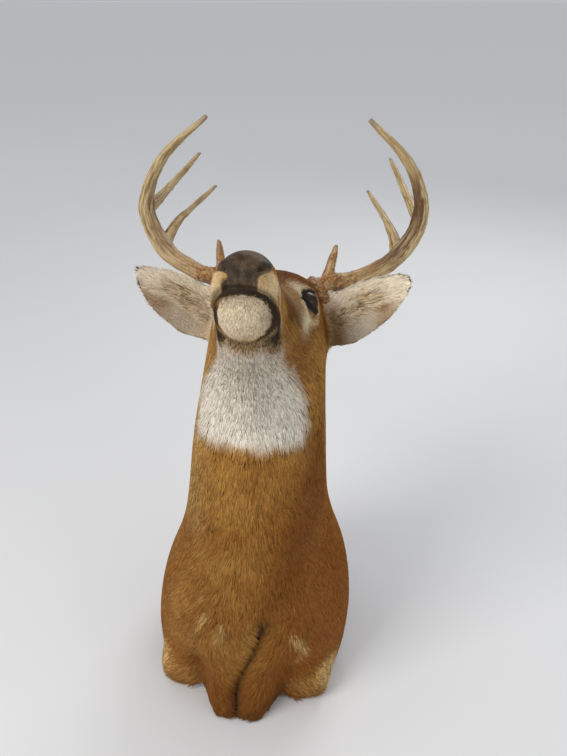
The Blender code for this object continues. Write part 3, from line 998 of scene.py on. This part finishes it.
# %% Materials and their patterns
class Finish:
    """A material and the patterns that make it."""

    def __init__(self, name, **constants):
        self.material = bpy.data.materials.new(name)
        self.material.use_nodes = True
        self.tree = self.material.node_tree
        self.shader = self.tree.nodes["Principled BSDF"]
        self.feed(**constants)

    def node(self, kind, settings, sockets, output=0):
        """Adds a node: its settings first, then values or wires on its sockets."""
        node = self.tree.nodes.new("ShaderNode" + kind)
        for key, value in settings.items():
            setattr(node, key, value)
        for key, value in sockets.items():
            self.join(value, node.inputs[key])
        return Wire(self, node.outputs[output])

    def join(self, value, socket):
        if isinstance(value, Wire):
            self.tree.links.new(value.socket, socket)
        elif socket.type == "RGBA":
            socket.default_value = (*value, 1)
        else:
            socket.default_value = value

    def feed(self, **sockets):
        """Sets the shader's sockets, or joins wires to them. A _ stands for the space in a socket's name."""
        for name, value in sockets.items():
            self.join(value, self.shader.inputs[name.replace("_", " ")])

    def attribute(self, name):
        """The three numbers kept on the mesh under this name."""
        kept = self.node("Attribute", {"attribute_name": name}, {}, "Vector")
        return [self.node("SeparateXYZ", {}, {0: kept}, axis) for axis in "XYZ"]

    def place(self):
        return self.node("TexCoord", {}, {}, "Object")

    def noise(self, scale, detail=3.0, vector=None, rough=0.55):
        sockets = {"Vector": vector or self.place(), "Scale": scale, "Detail": detail, "Roughness": rough}
        return self.node("TexNoise", {}, sockets)

    def cells(self, scale):
        return self.node("TexVoronoi", {}, {"Vector": self.place(), "Scale": scale}, "Distance")

    def step(self, value, low, high):
        """0 below low, 1 above high, smooth between."""
        settings = {"interpolation_type": "SMOOTHSTEP"}
        return self.node("MapRange", settings, {"Value": value, "From Min": low, "From Max": high})

    def mix(self, factor, first, second, how="MIX"):
        settings = {"data_type": "RGBA", "blend_type": how, "clamp_factor": True}
        return self.node("Mix", settings, {0: factor, 6: first, 7: second}, 2)

    def bump(self, height, strength, distance):
        return self.node("Bump", {}, {"Height": height, "Strength": strength, "Distance": distance})

    def cover(self, piece):
        """Gives the material to a piece."""
        piece.data.materials.clear()
        piece.data.materials.append(self.material)


# %% [markdown]
# ## The colours of the coat
#
# Skin and hair use one recipe of colours. The tan varies from lock to lock, and in broad soft patches. Then
# each marking is mixed over it. A hair is darker and greyer near its root: partly the grey of its underfur,
# and partly painted shade for the shadow that falls between the locks.

# %% Coat colours
GOLD = (0.350, 0.175, 0.040)
TAN = (0.225, 0.087, 0.015)
RUST = (0.265, 0.080, 0.008)
BROWN = (0.105, 0.038, 0.009)
WHITE = (0.74, 0.67, 0.56)
CREAM = (0.72, 0.60, 0.39)
STRAW = (0.560, 0.380, 0.150)
SOOT = (0.026, 0.017, 0.011)
GREY = (0.15, 0.105, 0.065)
UNDERFUR_AND_SHADE = (0.20, 0.115, 0.055)
DARK_SPECK = (0.070, 0.040, 0.020)
PALE_SPECK = (0.360, 0.250, 0.130)


def coat_colour(finish, chance, second_chance, along):
    """The coat's colour from its markings; chance differs from lock to lock, along runs root to tip."""
    white, cream, dark = finish.attribute("marks")
    rust, brown, grizzled = finish.attribute("tones")
    straw, ear, _ = finish.attribute("hints")
    broad = finish.step(finish.noise(11, 3), 0.36, 0.64)
    colour = finish.mix((broad * 0.65 + chance * 0.4).limited(), TAN, GOLD)
    colour = finish.mix((rust * (0.55 + 0.45 * second_chance)).limited(), colour, RUST)
    # The brown brings real brown hair, and also painted shade at the foot of the brisket and beside its
    # seam.
    colour = finish.mix((brown * (0.55 + 0.6 * chance)).limited(), colour, BROWN)
    flecks = finish.step(second_chance, 0.80, 0.92) * 0.18
    colour = finish.mix(flecks, colour, BROWN)
    colour = finish.mix((straw * (0.35 + 0.95 * chance)).limited(), colour, STRAW)
    colour = finish.mix((cream * (0.80 + 0.3 * chance)).limited(), colour, CREAM)
    colour = finish.mix(white, colour, WHITE)
    dim = (0.12 + finish.step(second_chance, 0.70, 1.0) * 0.35) * white
    colour = finish.mix(dim, colour, GREY)
    specks = finish.mix(finish.step(chance, 0.35, 0.65), DARK_SPECK, PALE_SPECK)
    # The grizzle brings real grizzled hair, and also the painted shadow under the chin, as dark and pale
    # specks.
    colour = finish.mix(grizzled, colour, specks)
    colour = finish.mix((dark * (0.85 + 0.3 * chance)).limited(), colour, SOOT)
    # Painted shade near the root: the colour is darkened towards a grey-brown. This is partly the real grey
    # of the underfur and partly painted shade between the locks. The skin gets it too.
    rooted = finish.step(along, 0.0, 0.5)
    shaded = finish.mix(0.18, colour, UNDERFUR_AND_SHADE, "MULTIPLY")
    colour = finish.mix(rooted, shaded, colour)
    # Painted light: the ears are made paler all over, standing in for light that the lamps here do not bring
    # to them.
    paler = 0.76 + 0.46 * chance + 0.30 * ear
    tint = finish.node("CombineColor", {}, {0: paler, 1: paler, 2: paler})
    return finish.mix(1.0, colour, tint, "MULTIPLY")


# %% The skin's finish
BLACK_LEATHER = (0.034, 0.021, 0.012)
BROWN_LEATHER = (0.130, 0.080, 0.040)
PEBBLE_GAP = (0.016, 0.010, 0.007)
LID_SKIN = (0.012, 0.008, 0.006)


def finish_skin():
    finish = Finish("deer_skin", Specular_IOR_Level=0.2)
    nose, lid, _ = finish.attribute("bare")
    fuzz = finish.noise(420, 4)
    colour = coat_colour(finish, fuzz, finish.noise(300, 3), fuzz * 0.5 + 0.1)
    pebbles = finish.cells(950)
    leather = finish.mix(finish.step(finish.noise(90, 4), 0.35, 0.7), BLACK_LEATHER, BROWN_LEATHER)
    leather = finish.mix(finish.step(pebbles, 0.25, 0.75) * 0.55, leather, PEBBLE_GAP)
    colour = finish.mix(nose, colour, leather)
    colour = finish.mix(lid, colour, LID_SKIN)
    height = nose * (1 - pebbles) * 0.8 + (1 - nose) * fuzz
    rough = 0.75 - 0.20 * nose - 0.10 * lid
    finish.feed(Base_Color=colour, Roughness=rough, Normal=finish.bump(height, 0.55, 0.0009))
    finish.cover(skin)


finish_skin()
only(skin)
bpy.ops.object.shade_smooth()
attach(skin, "root")
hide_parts(*FLESH)
print("skin finished with", len(skin.data.materials[0].node_tree.nodes), "nodes")

# %% [markdown]
# ## Glass eyes
#
# A taxidermist sets a painted glass eye under the lids. A deer's is almost black, with a wide pupil that
# lies level, in a dark brown iris. Each is one smooth ball here, and the pupil is drawn by its place on it.

# %% Eyes
PUPIL = (0.003, 0.002, 0.003)
IRIS_DARK = (0.016, 0.008, 0.004)
IRIS_PALE = (0.050, 0.024, 0.010)
EYE_BORDER = (0.006, 0.004, 0.003)
CORNEA_SWELL = 0.0008


def finish_eye(eye, label):
    finish = Finish(f"glass_{label}", Roughness=0.08, IOR=1.40, Specular_IOR_Level=0.35)
    along, height, _ = finish.attribute("gaze")
    from_pupil = along * along * 2.2 + height * height * 6.0
    iris = finish.mix(finish.noise(900, 2), IRIS_DARK, IRIS_PALE)
    colour = finish.mix(finish.step(from_pupil, 0.35, 0.60), PUPIL, iris)
    colour = finish.mix(finish.step(from_pupil, 1.5, 2.6), colour, EYE_BORDER)
    finish.feed(Base_Color=colour)
    finish.cover(eye)


def glass_eye(label):
    eye = ball(EYES[label], EYE_RADIUS, 48, 32)
    eye.name = eye.data.name = f"glass_eye_{label}"
    points = points_of(eye.data)
    along, height, _, facing, outward = eye_places(points, label)
    cornea = bell(along, 0, 0.0095) * bell(height, 0, 0.0090) * (facing > 0)
    set_points(eye.data, points + outward * CORNEA_SWELL * cornea[:, None])
    store(eye.data, "gaze", along / EYE_RADIUS, height / EYE_RADIUS)
    bpy.ops.object.shade_smooth()
    finish_eye(eye, label)
    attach(eye, "root")
    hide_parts(f"eye_{label}")
    return eye


eyes = [glass_eye(label) for label in SIGNS]
print("eyes", [len(eye.data.polygons) for eye in eyes])

# %% [markdown]
# ## Antler bone
#
# Antler is ivory where it was rubbed on bark, brown and rough near the burr, and olive in its grooves. The
# grain runs along each beam, so the pattern reads the straightened place that was kept on every point.

# %% The antlers' finish
HORN = (0.30, 0.198, 0.082)
IVORY = (0.60, 0.460, 0.240)
BARK_STAIN = (0.240, 0.115, 0.030)
WORN_STREAK = (0.100, 0.052, 0.018)
GROOVE = (0.140, 0.080, 0.028)
DEEP_STAIN = (0.095, 0.042, 0.012)
BURR_DARK = (0.125, 0.042, 0.010)
BURR_PALE = (0.400, 0.200, 0.060)
TIP_GREY = (0.20, 0.155, 0.095)


def finish_antler(piece):
    finish = Finish(f"{piece.name}_bone", Specular_IOR_Level=0.4)
    low, hollow, tip = finish.attribute("wear")
    grain = finish.node("Attribute", {"attribute_name": "grain"}, {}, "Vector")
    stretched = finish.node("Mapping", {}, {"Vector": grain, "Scale": (1.0, 1.0, 0.12)})
    streaks = finish.noise(430, 4, stretched)
    stains = finish.step(finish.noise(34, 4, rough=0.65), 0.50, 0.68)
    pores = finish.step(finish.noise(260, 3, stretched), 0.52, 0.66)
    colour = finish.mix(finish.step(streaks, 0.30, 0.70), HORN, IVORY)
    colour = finish.mix((stains * 0.70).limited(), colour, BARK_STAIN)
    worn = finish.step(finish.noise(150, 5, stretched, 0.7), 0.56, 0.64)
    worn = worn * finish.step(finish.noise(22, 2), 0.40, 0.62)
    colour = finish.mix(worn * 0.75, colour, WORN_STREAK)
    colour = finish.mix((hollow * 0.55 + pores * 0.30).limited(), colour, GROOVE)
    smudges = finish.step(finish.noise(120, 5, stretched, 0.7), 0.42, 0.58)
    stained = finish.attribute("stain")[0] * (0.35 + 1.2 * smudges)
    colour = finish.mix(stained.limited(), colour, DEEP_STAIN)
    rough = finish.noise(300, 5, rough=0.7)
    burr = finish.mix(finish.step(rough, 0.38, 0.62), BURR_DARK, BURR_PALE)
    speckled = low * (0.45 + 1.1 * finish.step(finish.noise(95, 4), 0.35, 0.65))
    colour = finish.mix(speckled.limited(), colour, burr)
    colour = finish.mix(tip * 0.7, colour, TIP_GREY)
    height = streaks * 0.6 - pores * 0.4 + rough * low * 1.2
    finish.feed(Base_Color=colour, Roughness=0.42 + 0.2 * hollow, Normal=finish.bump(height, 0.5, 0.0008))
    finish.cover(piece)


for piece in antlers:
    finish_antler(piece)
print("finished", [piece.name for piece in antlers])

# %% [markdown]
# ## The board
#
# The form is screwed to a plywood board, let into its flat back. It shows only from behind and below, as a
# pale sheet with long grain and thin plies at its edge.

# %% Plywood
WOOD_BROWN = (0.42, 0.28, 0.15)
WOOD_PALE = (0.60, 0.44, 0.27)
ARCH_BROWN = (0.36, 0.21, 0.10)
PLY_BROWN = (0.25, 0.15, 0.08)


def finish_board():
    finish = Finish("plywood_sheet", Roughness=0.6)
    stretched = finish.node("Mapping", {}, {"Vector": finish.place(), "Scale": (1.0, 0.07, 1.0)})
    grain = finish.noise(150, 5, stretched)
    arches = finish.noise(16, 2, stretched)
    plies = finish.node("TexWave", {"bands_direction": "Z"}, {"Vector": finish.place(), "Scale": 70.0}, 1)
    colour = finish.mix(finish.step(grain, 0.3, 0.7), WOOD_BROWN, WOOD_PALE)
    colour = finish.mix(finish.step(arches, 0.45, 0.62) * 0.5, colour, ARCH_BROWN)
    colour = finish.mix(plies * 0.25, colour, PLY_BROWN)
    finish.feed(Base_Color=colour, Normal=finish.bump(grain, 0.3, 0.0006))
    finish.cover(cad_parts["back_board"])


finish_board()
print("board", (BOARD_HIGH - BOARD_LOW).round(3))

# %% [markdown]
# ## The coat
#
# A deer's coat is made of thousands of locks that start at the skin, rise a few millimetres and lie down
# along the body, each over the root of the next. Hair curves would be lost in an export, so each lock here
# is a closed sliver of mesh: three corners at its root, three at its middle and one at its tip. They are
# far too many to model by hand, so the slivers are written straight into the mesh with numpy.
#
# The lie of the coat is a direction at every place: back over the head, down the neck, out over the
# shoulders, in towards the brisket's seam, away from the eyes, and from root to tip on the ears.

# %% The lie of the coat
def lie_of_coat(points, normals):
    """The direction in which the hair lies at each point, before it is laid along the skin."""
    side = head_places(points)[2]
    z = points[:, 2]
    on_head_share = fade(z, 0.47, 0.56)
    lying = np.outer(on_head_share, BACK) + np.outer(1 - on_head_share, (-LEAN, 0.0, -1.0))
    in_front = fall(points[:, 1], -0.10, -0.02)
    from_seam = seam_side(points)
    fan = 1.45 * np.clip(side / 0.11, -1.1, 1.1) * bell(z, 0.24, 0.16)
    fan *= 1 - bell(from_seam, 0, 0.050) * (z < 0.30) * in_front
    inward = -np.sign(from_seam) * bell(from_seam, 0, 0.034) * 1.15 * fall(z, 0.20, 0.25) * in_front
    lying[:, 0] += fan + inward
    for sign, middle in NUBS.items():
        close = fall(np.linalg.norm(points - middle, axis=1), 0.042, 0.062)
        lying += close[:, None] * np.array((0.9 * sign, -0.35, -0.1))
    swirl = 0.16 * ripple(points, 0.055, 31) + 0.10 * ripple(points, 0.017, 32)
    lying += np.cross(normals, lying) * swirl[:, None]
    from_eye = np.where((side > 0)[:, None], points - EYES["left"], points - EYES["right"])
    lying += unit(from_eye) * fall(lid_reach(points), 1.0, 1.7)[:, None] * 1.3
    in_ear, _, height, inner = ear_facts(points, normals)
    for sign in SIGNS.values():
        _, _, along, _, upward = ear_frame(sign)
        spread = np.clip(height / 0.030, -1, 1)[:, None] * upward * (0.25 + 0.35 * inner[:, None])
        mine = (in_ear * (side * sign > 0))[:, None]
        lying = lying * (1 - mine) + (along + spread) * mine
    return lying


def along_skin(directions, normals):
    return unit(directions - normals * (directions * normals).sum(axis=1, keepdims=True))


# %% [markdown]
# Locks are long on the body, a third of that on the face, and shortest on the muzzle, which looks like
# velvet. Round an eye, beside the seam and at an ear's edge they are shorter, so that none pokes through.

# %% Length, width and rise of the locks
BODY_LOCK = 0.0300
FACE_LOCK = 0.0090
MUZZLE_LOCK = 0.0042
THROAT_LOCK = 0.019
EAR_LOCK = 0.0080
LOCK_WIDTH = 0.00042
HEAD_Z = 0.56


def lock_sizes(points, normals):
    """(length, width, rise of the tip, how freely it stands) of the locks at each point."""
    back, up, _ = head_places(points)
    z = points[:, 2]
    in_ear, share, height, inner = ear_facts(points, normals)
    on_head_share = fade(z, 0.52, 0.575) * fall(back, 0.20, 0.25)
    chin = bell(back, 0.022, 0.022) * fall(up, -0.038, -0.030)
    throat = fall(up, -0.060, -0.030) * fade(back, 0.08, 0.14) * (z > 0.46)
    crown = fade(up, 0.068, 0.082) * between(back, 0.145, 0.165, 0.20, 0.22) * (z > HEAD_Z)
    in_cup = inner * fall(share, 0.60, 0.95) * fall(np.abs(height), 0.012, 0.026)
    ear_edge = np.clip(fade(np.abs(height), 0.018, 0.024) + fade(share, 0.88, 0.95), 0, 1)
    ear_length = (EAR_LOCK + 0.0035 * inner + 0.0065 * in_cup) * (1 - 0.55 * ear_edge)
    length = BODY_LOCK + (FACE_LOCK - BODY_LOCK) * on_head_share
    length += (MUZZLE_LOCK - length) * fall(back, 0.035, 0.10) * (z > HEAD_Z) + 0.0035 * chin
    length += (THROAT_LOCK - length) * throat + 0.005 * crown
    length += (ear_length - length) * in_ear
    length *= 1 - 0.72 * fall(lid_reach(points), 1.05, 1.80)
    to_seam = np.abs(seam_side(points)) * 1.20 + 0.0005
    by_seam = (z < SEAM_TOP) & (points[:, 1] < BRISKET_FRONT)
    length = np.where(by_seam, np.minimum(length, to_seam), length)
    width = LOCK_WIDTH + 0.00036 * fade(length, 0.006, 0.018) - 0.00010 * in_ear * ear_edge
    rise = coat_depth(points) * (0.90 - 0.25 * on_head_share) * (1 - 0.3 * chin) + 0.0010 * crown
    rise += (0.0010 + 0.0006 * in_cup - rise) * in_ear
    free = 0.06 + in_ear * (0.30 + 0.64 * ear_edge) + 0.25 * crown + 0.35 * fall(z, 0.02, 0.07)
    return length, width, rise, np.clip(free, 0, 1)


# %% [markdown]
# Roots are scattered evenly. Each triangle of the skin is picked as often as its area asks, and a random
# place is taken inside it. A particle system could do this, but here a test can say where hair grows.

# %% Roots
def scatter(mesh, chosen, count, chance):
    """Even random roots on the triangles that a test keeps: (points, normals)."""
    mesh.calc_loop_triangles()
    corners = np.empty(len(mesh.loop_triangles) * 3, np.int32)
    mesh.loop_triangles.foreach_get("vertices", corners)
    corners = corners.reshape(-1, 3)
    points, normals = points_of(mesh), normals_of(mesh)
    first, second, third = np.moveaxis(points[corners], 1, 0)
    centres, facing = points[corners].mean(axis=1), unit(normals[corners].mean(axis=1))
    area = np.linalg.norm(np.cross(second - first, third - first), axis=1)
    weight = area * chosen(centres, facing)
    picked = corners[chance.choice(len(corners), count, p=weight / weight.sum())]
    a, b = chance.random((2, count))
    over = a + b > 1
    a, b = np.where(over, 1 - a, a), np.where(over, 1 - b, b)
    shares = np.stack([1 - a - b, a, b], axis=1)[:, :, None]
    return (points[picked] * shares).sum(axis=1), unit((normals[picked] * shares).sum(axis=1))


SKIN_TREE = tree_of([skin.data])


def onto_skin(points):
    """The nearest places on the skin, and its normals there."""
    found = [SKIN_TREE.find_nearest(Vector(point)) for point in points]
    return np.array([hit[0] for hit in found]), np.array([hit[1] for hit in found])


# %% The shape of the locks
LOCK_FACES = [[k, (k + 1) % 3, 3 + (k + 1) % 3, 3 + k] for k in range(3)]
LOCK_FACES += [[3 + k, 3 + (k + 1) % 3, 6] for k in range(3)] + [[2, 1, 0]]
LOCK_TRIANGLES = sum(len(face) - 2 for face in LOCK_FACES)
CORNERS = 7
MIDDLE_SHARE = 0.40
ROOT_DEPTH = 0.0006
FLOOR_GAP = 0.0008
SHORTENED = 0.35


def rings(centres, across, outward, half_width):
    """Three corners round each centre: left, top and right."""
    half = half_width[:, None]
    return [centres + across * half, centres + outward * half * 0.55, centres - across * half]


def shape_locks(roots, normals, chance, on_ear):
    """The seven corners of each lock, and the directions in which they are shaded."""
    count = len(roots)
    length, width, rise, free = lock_sizes(roots, normals)
    length = length * chance.uniform(0.72, 1.22, count)
    width = width * chance.uniform(0.75, 1.25, count)
    tip_rise = rise * chance.uniform(0.70, 1.02, count)
    lying = along_skin(lie_of_coat(roots, normals), normals)
    stray = chance.normal(0, 0.10, count)[:, None]
    lying = along_skin(lying + np.cross(normals, lying) * stray, normals)
    across = np.cross(normals, lying)
    if on_ear:
        reached_normals = onto_skin(roots + lying * length[:, None])[1]
        through_ear = (reached_normals * normals).sum(axis=1) < 0
        length = np.where(through_ear, length * SHORTENED, length)
    middles = roots + lying * length[:, None] * MIDDLE_SHARE
    tips = roots + lying * length[:, None]
    middle_places, middle_normals = onto_skin(middles)
    tip_places, tip_normals = onto_skin(tips)
    let = free[:, None]
    middle_normals = unit(middle_normals * (1 - let) + normals * let)
    tip_normals = unit(tip_normals * (1 - let) + normals * let)
    middles = middle_places * (1 - let) + middles * let + middle_normals * (tip_rise * 0.80)[:, None]
    tips = tip_places * (1 - let) + tips * let + tip_normals * tip_rise[:, None]
    root_ring = rings(roots - normals * ROOT_DEPTH, across, normals, width * 0.75)
    corners = np.stack(root_ring + rings(middles, across, middle_normals, width) + [tips], axis=1)
    corners[:, :, 2] = np.maximum(corners[:, :, 2], FLOOR_GAP)
    shading = np.stack([normals] * 3 + [middle_normals] * 3 + [tip_normals], axis=1)
    return corners, shading.reshape(-1, 3)


# %% The mesh of a coat piece
PATCH = 0.003
PATCH_SPOTS = np.array([(-1, -1), (0, -1), (1, -1), (-1, 0.1), (0, 0.1), (1, 0.1), (0, 1)]) * PATCH / 2
SOFTNESS = 0.65


def unwrap(roots, normals, on_ear):
    """Places from 0 to 1 on the skin, rolled flat: round and along the body or head, or flat on an ear."""
    _, y, z = roots.T
    if on_ear:
        _, share, height, inner = ear_facts(roots, normals)
        flat = np.stack([share, height / 0.20 + np.where(inner > 0.5, 0.30, 0.75)], axis=1)
    else:
        side = head_places(roots)[2]
        axis_y = -0.03 - 0.45 * (0.705 - z) * (z > 0.45)
        flat = np.stack([np.arctan2(side, axis_y - y), z], axis=1)
    low, high = flat.min(axis=0), flat.max(axis=0)
    return 0.01 + 0.98 * (flat - low) / (high - low)


def locks_mesh(name, corners, patches, shading, facts):
    """A mesh of locks from their corners, their places on the unwrapped skin, and numbers for the finish."""
    numbers = np.arange(len(corners))[:, None]
    pattern = np.concatenate(LOCK_FACES)
    starts = np.cumsum([0] + [len(face) for face in LOCK_FACES[:-1]])
    loops = (pattern + CORNERS * numbers).ravel()
    mesh = bpy.data.meshes.new(name)
    mesh.vertices.add(corners.size // 3)
    mesh.loops.add(len(loops))
    mesh.polygons.add(len(corners) * len(LOCK_FACES))
    mesh.vertices.foreach_set("co", corners.astype(np.float32).ravel())
    mesh.loops.foreach_set("vertex_index", loops.astype(np.int32))
    mesh.polygons.foreach_set("loop_start", (starts + len(pattern) * numbers).ravel().astype(np.int32))
    mesh.update(calc_edges=True)
    mesh.shade_smooth()
    unwrapped = (patches[:, None] + PATCH_SPOTS).reshape(-1, 2)[loops]
    mesh.uv_layers.new(name="OFBake").data.foreach_set("uv", unwrapped.astype(np.float32).ravel())
    for key, columns in facts.items():
        store(mesh, key, *columns)
    soft = unit(normals_of(mesh) * (1 - SOFTNESS) + shading * SOFTNESS)
    mesh.normals_split_custom_set_from_vertices(soft)
    return mesh


# %% The hair's finish
COAT = Finish("deer_hair", Roughness=0.75, Specular_IOR_Level=0.08)
COAT.feed(Base_Color=coat_colour(COAT, *COAT.attribute("lock")))
print("hair finished with", len(COAT.tree.nodes), "nodes")

# %% One coat piece
def coat_piece(name, chosen, count, seed, on_ear=False):
    """Grows one piece of the coat where a test allows it."""
    chance = np.random.default_rng(seed)
    roots, normals = scatter(skin.data, chosen, count, chance)
    corners, shading = shape_locks(roots, normals, chance, on_ear)
    facts = {
        key: [np.repeat(mask, CORNERS) for mask in masks] for key, masks in markings(roots, normals).items()
    }
    first, second = (np.repeat(chance.random(count), CORNERS) for _ in range(2))
    facts["lock"] = (first, second, np.tile((0, 0, 0, 0.5, 0.5, 0.5, 1.0), count))
    mesh = locks_mesh(name, corners, unwrap(roots, normals, on_ear), shading, facts)
    piece = bpy.data.objects.new(name, mesh)
    bpy.context.scene.collection.objects.link(piece)
    COAT.cover(piece)
    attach(piece, "root")
    print(name, count, "locks,", count * LOCK_TRIANGLES, "triangles")
    return piece


# %% [markdown]
# The coat grows in ten pieces, so that none is too heavy to export whole. A test on the places of the roots
# says which piece has them, and where it grows thicker.

# %% Where hair grows
BURR_HALF = 0.013
BURRS = [cores(sign)[0][0][0][round(0.8 * BURR_SHARE * CORE_STEPS)] for sign in SIGNS.values()]


def hairy(points, normals):
    """1 where hair grows: not on the nose pad, the lids, the mouth, the seam, the burrs or the flat back."""
    back, up, side = head_places(points)
    pad = (back < 0.0150) & (up > MOUTH_UP + 0.003) & (beside_pad(up, side) < 0)
    lips = (np.abs(up - mouth_height(back)) < 0.0022) & (back < MOUTH_BACK)
    under = (normals[:, 2] < -0.45) & (points[:, 2] < 0.03)
    flat_back = (points[:, 2] < 0.0025) | under | (in_pocket(points) > 0.5)
    burr = np.min([np.linalg.norm(points - place, axis=1) for place in BURRS], axis=0) < BURR_HALF
    bald = pad | lips | flat_back | burr | (lid_reach(points) < 1.0) | (on_seam(points, 0.0028) > 0.5)
    return np.where(bald, 0.0, 1.0)


print("burrs", [place.round(3) for place in BURRS])

# %% Tests for the coat pieces
HEAD_BOTTOM = 0.535
NECK_BOTTOM = 0.28
CHEST_TOP = 0.13
MUZZLE_BACK = 0.085
FRONT_Y = -0.045


def ear_test(sign):
    def chosen(points, normals):
        in_ear, _, _, inner = ear_facts(points, normals)
        mine = (in_ear > 0.5) & (head_places(points)[2] * sign > 0)
        return hairy(points, normals) * mine * (1 + 0.2 * inner)
    return chosen


def muzzle_test(points, normals):
    back, up, _ = head_places(points)
    kept = (points[:, 2] > HEAD_BOTTOM) & (back < MUZZLE_BACK)
    return hairy(points, normals) * kept * (1 + 0.8 * (up < -0.028))


def face_test(points, normals):
    back, up, _ = head_places(points)
    kept = (points[:, 2] > HEAD_BOTTOM) & (back >= MUZZLE_BACK) & (ear_facts(points, normals)[0] <= 0.5)
    return hairy(points, normals) * kept * (1 + 0.8 * (up > 0.0))


def body_test(low, high, in_front, sign=None):
    """The front or the back of the body between two heights, or only its left or right side."""
    def chosen(points, normals):
        _, y, z = points.T
        front = y + 0.30 * np.clip(z - 0.30, 0, 1) < FRONT_Y
        kept = (z >= low) & (z < high) & (ear_facts(points, normals)[0] <= 0.5) & (front == in_front)
        if sign:
            kept &= head_places(points)[2] * sign > 0
        return hairy(points, normals) * kept
    return chosen


# %% Grow the coat
coat = [
    coat_piece("coat_muzzle", muzzle_test, 19000, 101),
    coat_piece("coat_face", face_test, 19500, 102),
    coat_piece("coat_ear_left", ear_test(1), 11000, 103, on_ear=True),
    coat_piece("coat_ear_right", ear_test(-1), 11000, 104, on_ear=True),
    coat_piece("coat_neck_front", body_test(NECK_BOTTOM, HEAD_BOTTOM, True), 19000, 105),
    coat_piece("coat_neck_back", body_test(NECK_BOTTOM, HEAD_BOTTOM, False), 13000, 106),
    coat_piece("coat_brisket", body_test(CHEST_TOP, NECK_BOTTOM, True), 16000, 107),
    coat_piece("coat_chest", body_test(0.0, CHEST_TOP, True), 16000, 108),
    coat_piece("coat_shoulder_left", body_test(0.0, NECK_BOTTOM, False, 1), 12000, 109),
    coat_piece("coat_shoulder_right", body_test(0.0, NECK_BOTTOM, False, -1), 12000, 110),
]
print("coat", sum(len(piece.data.vertices) for piece in coat) // CORNERS, "locks")

# %% [markdown]
# ## Camera, floor and light
#
# The mount is seen from above and in front, a little from the deer's left, as a visitor sees it standing
# on the floor. Large soft lamps stand in for a bright room.

# %% Camera
CAMERA_PLACE = Vector((0.1496, -0.800, 0.9368))
CAMERA_DOWN = math.radians(30)
CAMERA_TURN = math.radians(7.5)
camera_data = bpy.data.cameras.new("camera")
camera_data.lens = 33.33
camera_data.sensor_width = 36
camera = bpy.data.objects.new("camera", camera_data)
camera.location = CAMERA_PLACE
camera.rotation_euler = (math.pi / 2 - CAMERA_DOWN, 0, CAMERA_TURN)
bpy.context.scene.collection.objects.link(camera)
bpy.context.scene.camera = camera
print("camera", round(camera_data.lens, 2), "mm")

# %% Floor
FLOOR_SIZE = 60
NEAR_GREY = (0.68, 0.68, 0.69)
NEAR_PALE = (0.71, 0.71, 0.71)
FAR_PAINTED_LIGHT = (0.93, 0.93, 0.94)


def floor():
    """A plain floor, painted paler away from the mount to make up for the lamps' light that falls off there.
    """
    bpy.ops.object.select_all(action="DESELECT")
    bpy.ops.mesh.primitive_plane_add(size=FLOOR_SIZE, location=(0, 0, 0))
    plane = bpy.context.view_layer.objects.active
    plane.name = "floor"
    finish = Finish("pale_floor", Roughness=0.75)
    colour = finish.mix(finish.noise(3, 4), NEAR_GREY, NEAR_PALE)
    away = finish.node("VectorMath", {"operation": "LENGTH"}, {0: finish.place()}, 1)
    # Painted light: the floor is painted paler beyond the mount, where the lamps' light falls off.
    finish.feed(Base_Color=finish.mix(finish.step(away, 0.8, 4.0), colour, FAR_PAINTED_LIGHT))
    finish.cover(plane)


floor()
print("floor", FLOOR_SIZE, "m wide")

# %% Lamps and room
MIDDLE = (0.02, -0.05, 0.40)


def lamp(name, place, size, power, colour):
    """A square soft lamp that points at the middle of the mount."""
    light = bpy.data.lights.new(name, "AREA")
    light.size = size
    light.energy = power
    light.color = colour
    made = bpy.data.objects.new(name, light)
    made.location = place
    made.rotation_euler = (Vector(MIDDLE) - Vector(place)).to_track_quat("-Z", "Y").to_euler()
    bpy.context.scene.collection.objects.link(made)


lamp("key", (-1.3, -1.6, 1.9), 1.2, 42, (1.0, 0.98, 0.95))
lamp("fill", (1.6, -1.0, 1.0), 1.6, 8, (0.95, 0.97, 1.0))
lamp("rim", (0.6, 1.6, 1.8), 1.2, 16, (1.0, 1.0, 1.0))
world = bpy.data.worlds.new("room")
world.use_nodes = True
room = world.node_tree.nodes["Background"].inputs
room["Color"].default_value = (0.80, 0.82, 0.85, 1)
room["Strength"].default_value = 0.62
bpy.context.scene.world = world
bpy.context.scene.view_settings.view_transform = "Standard"
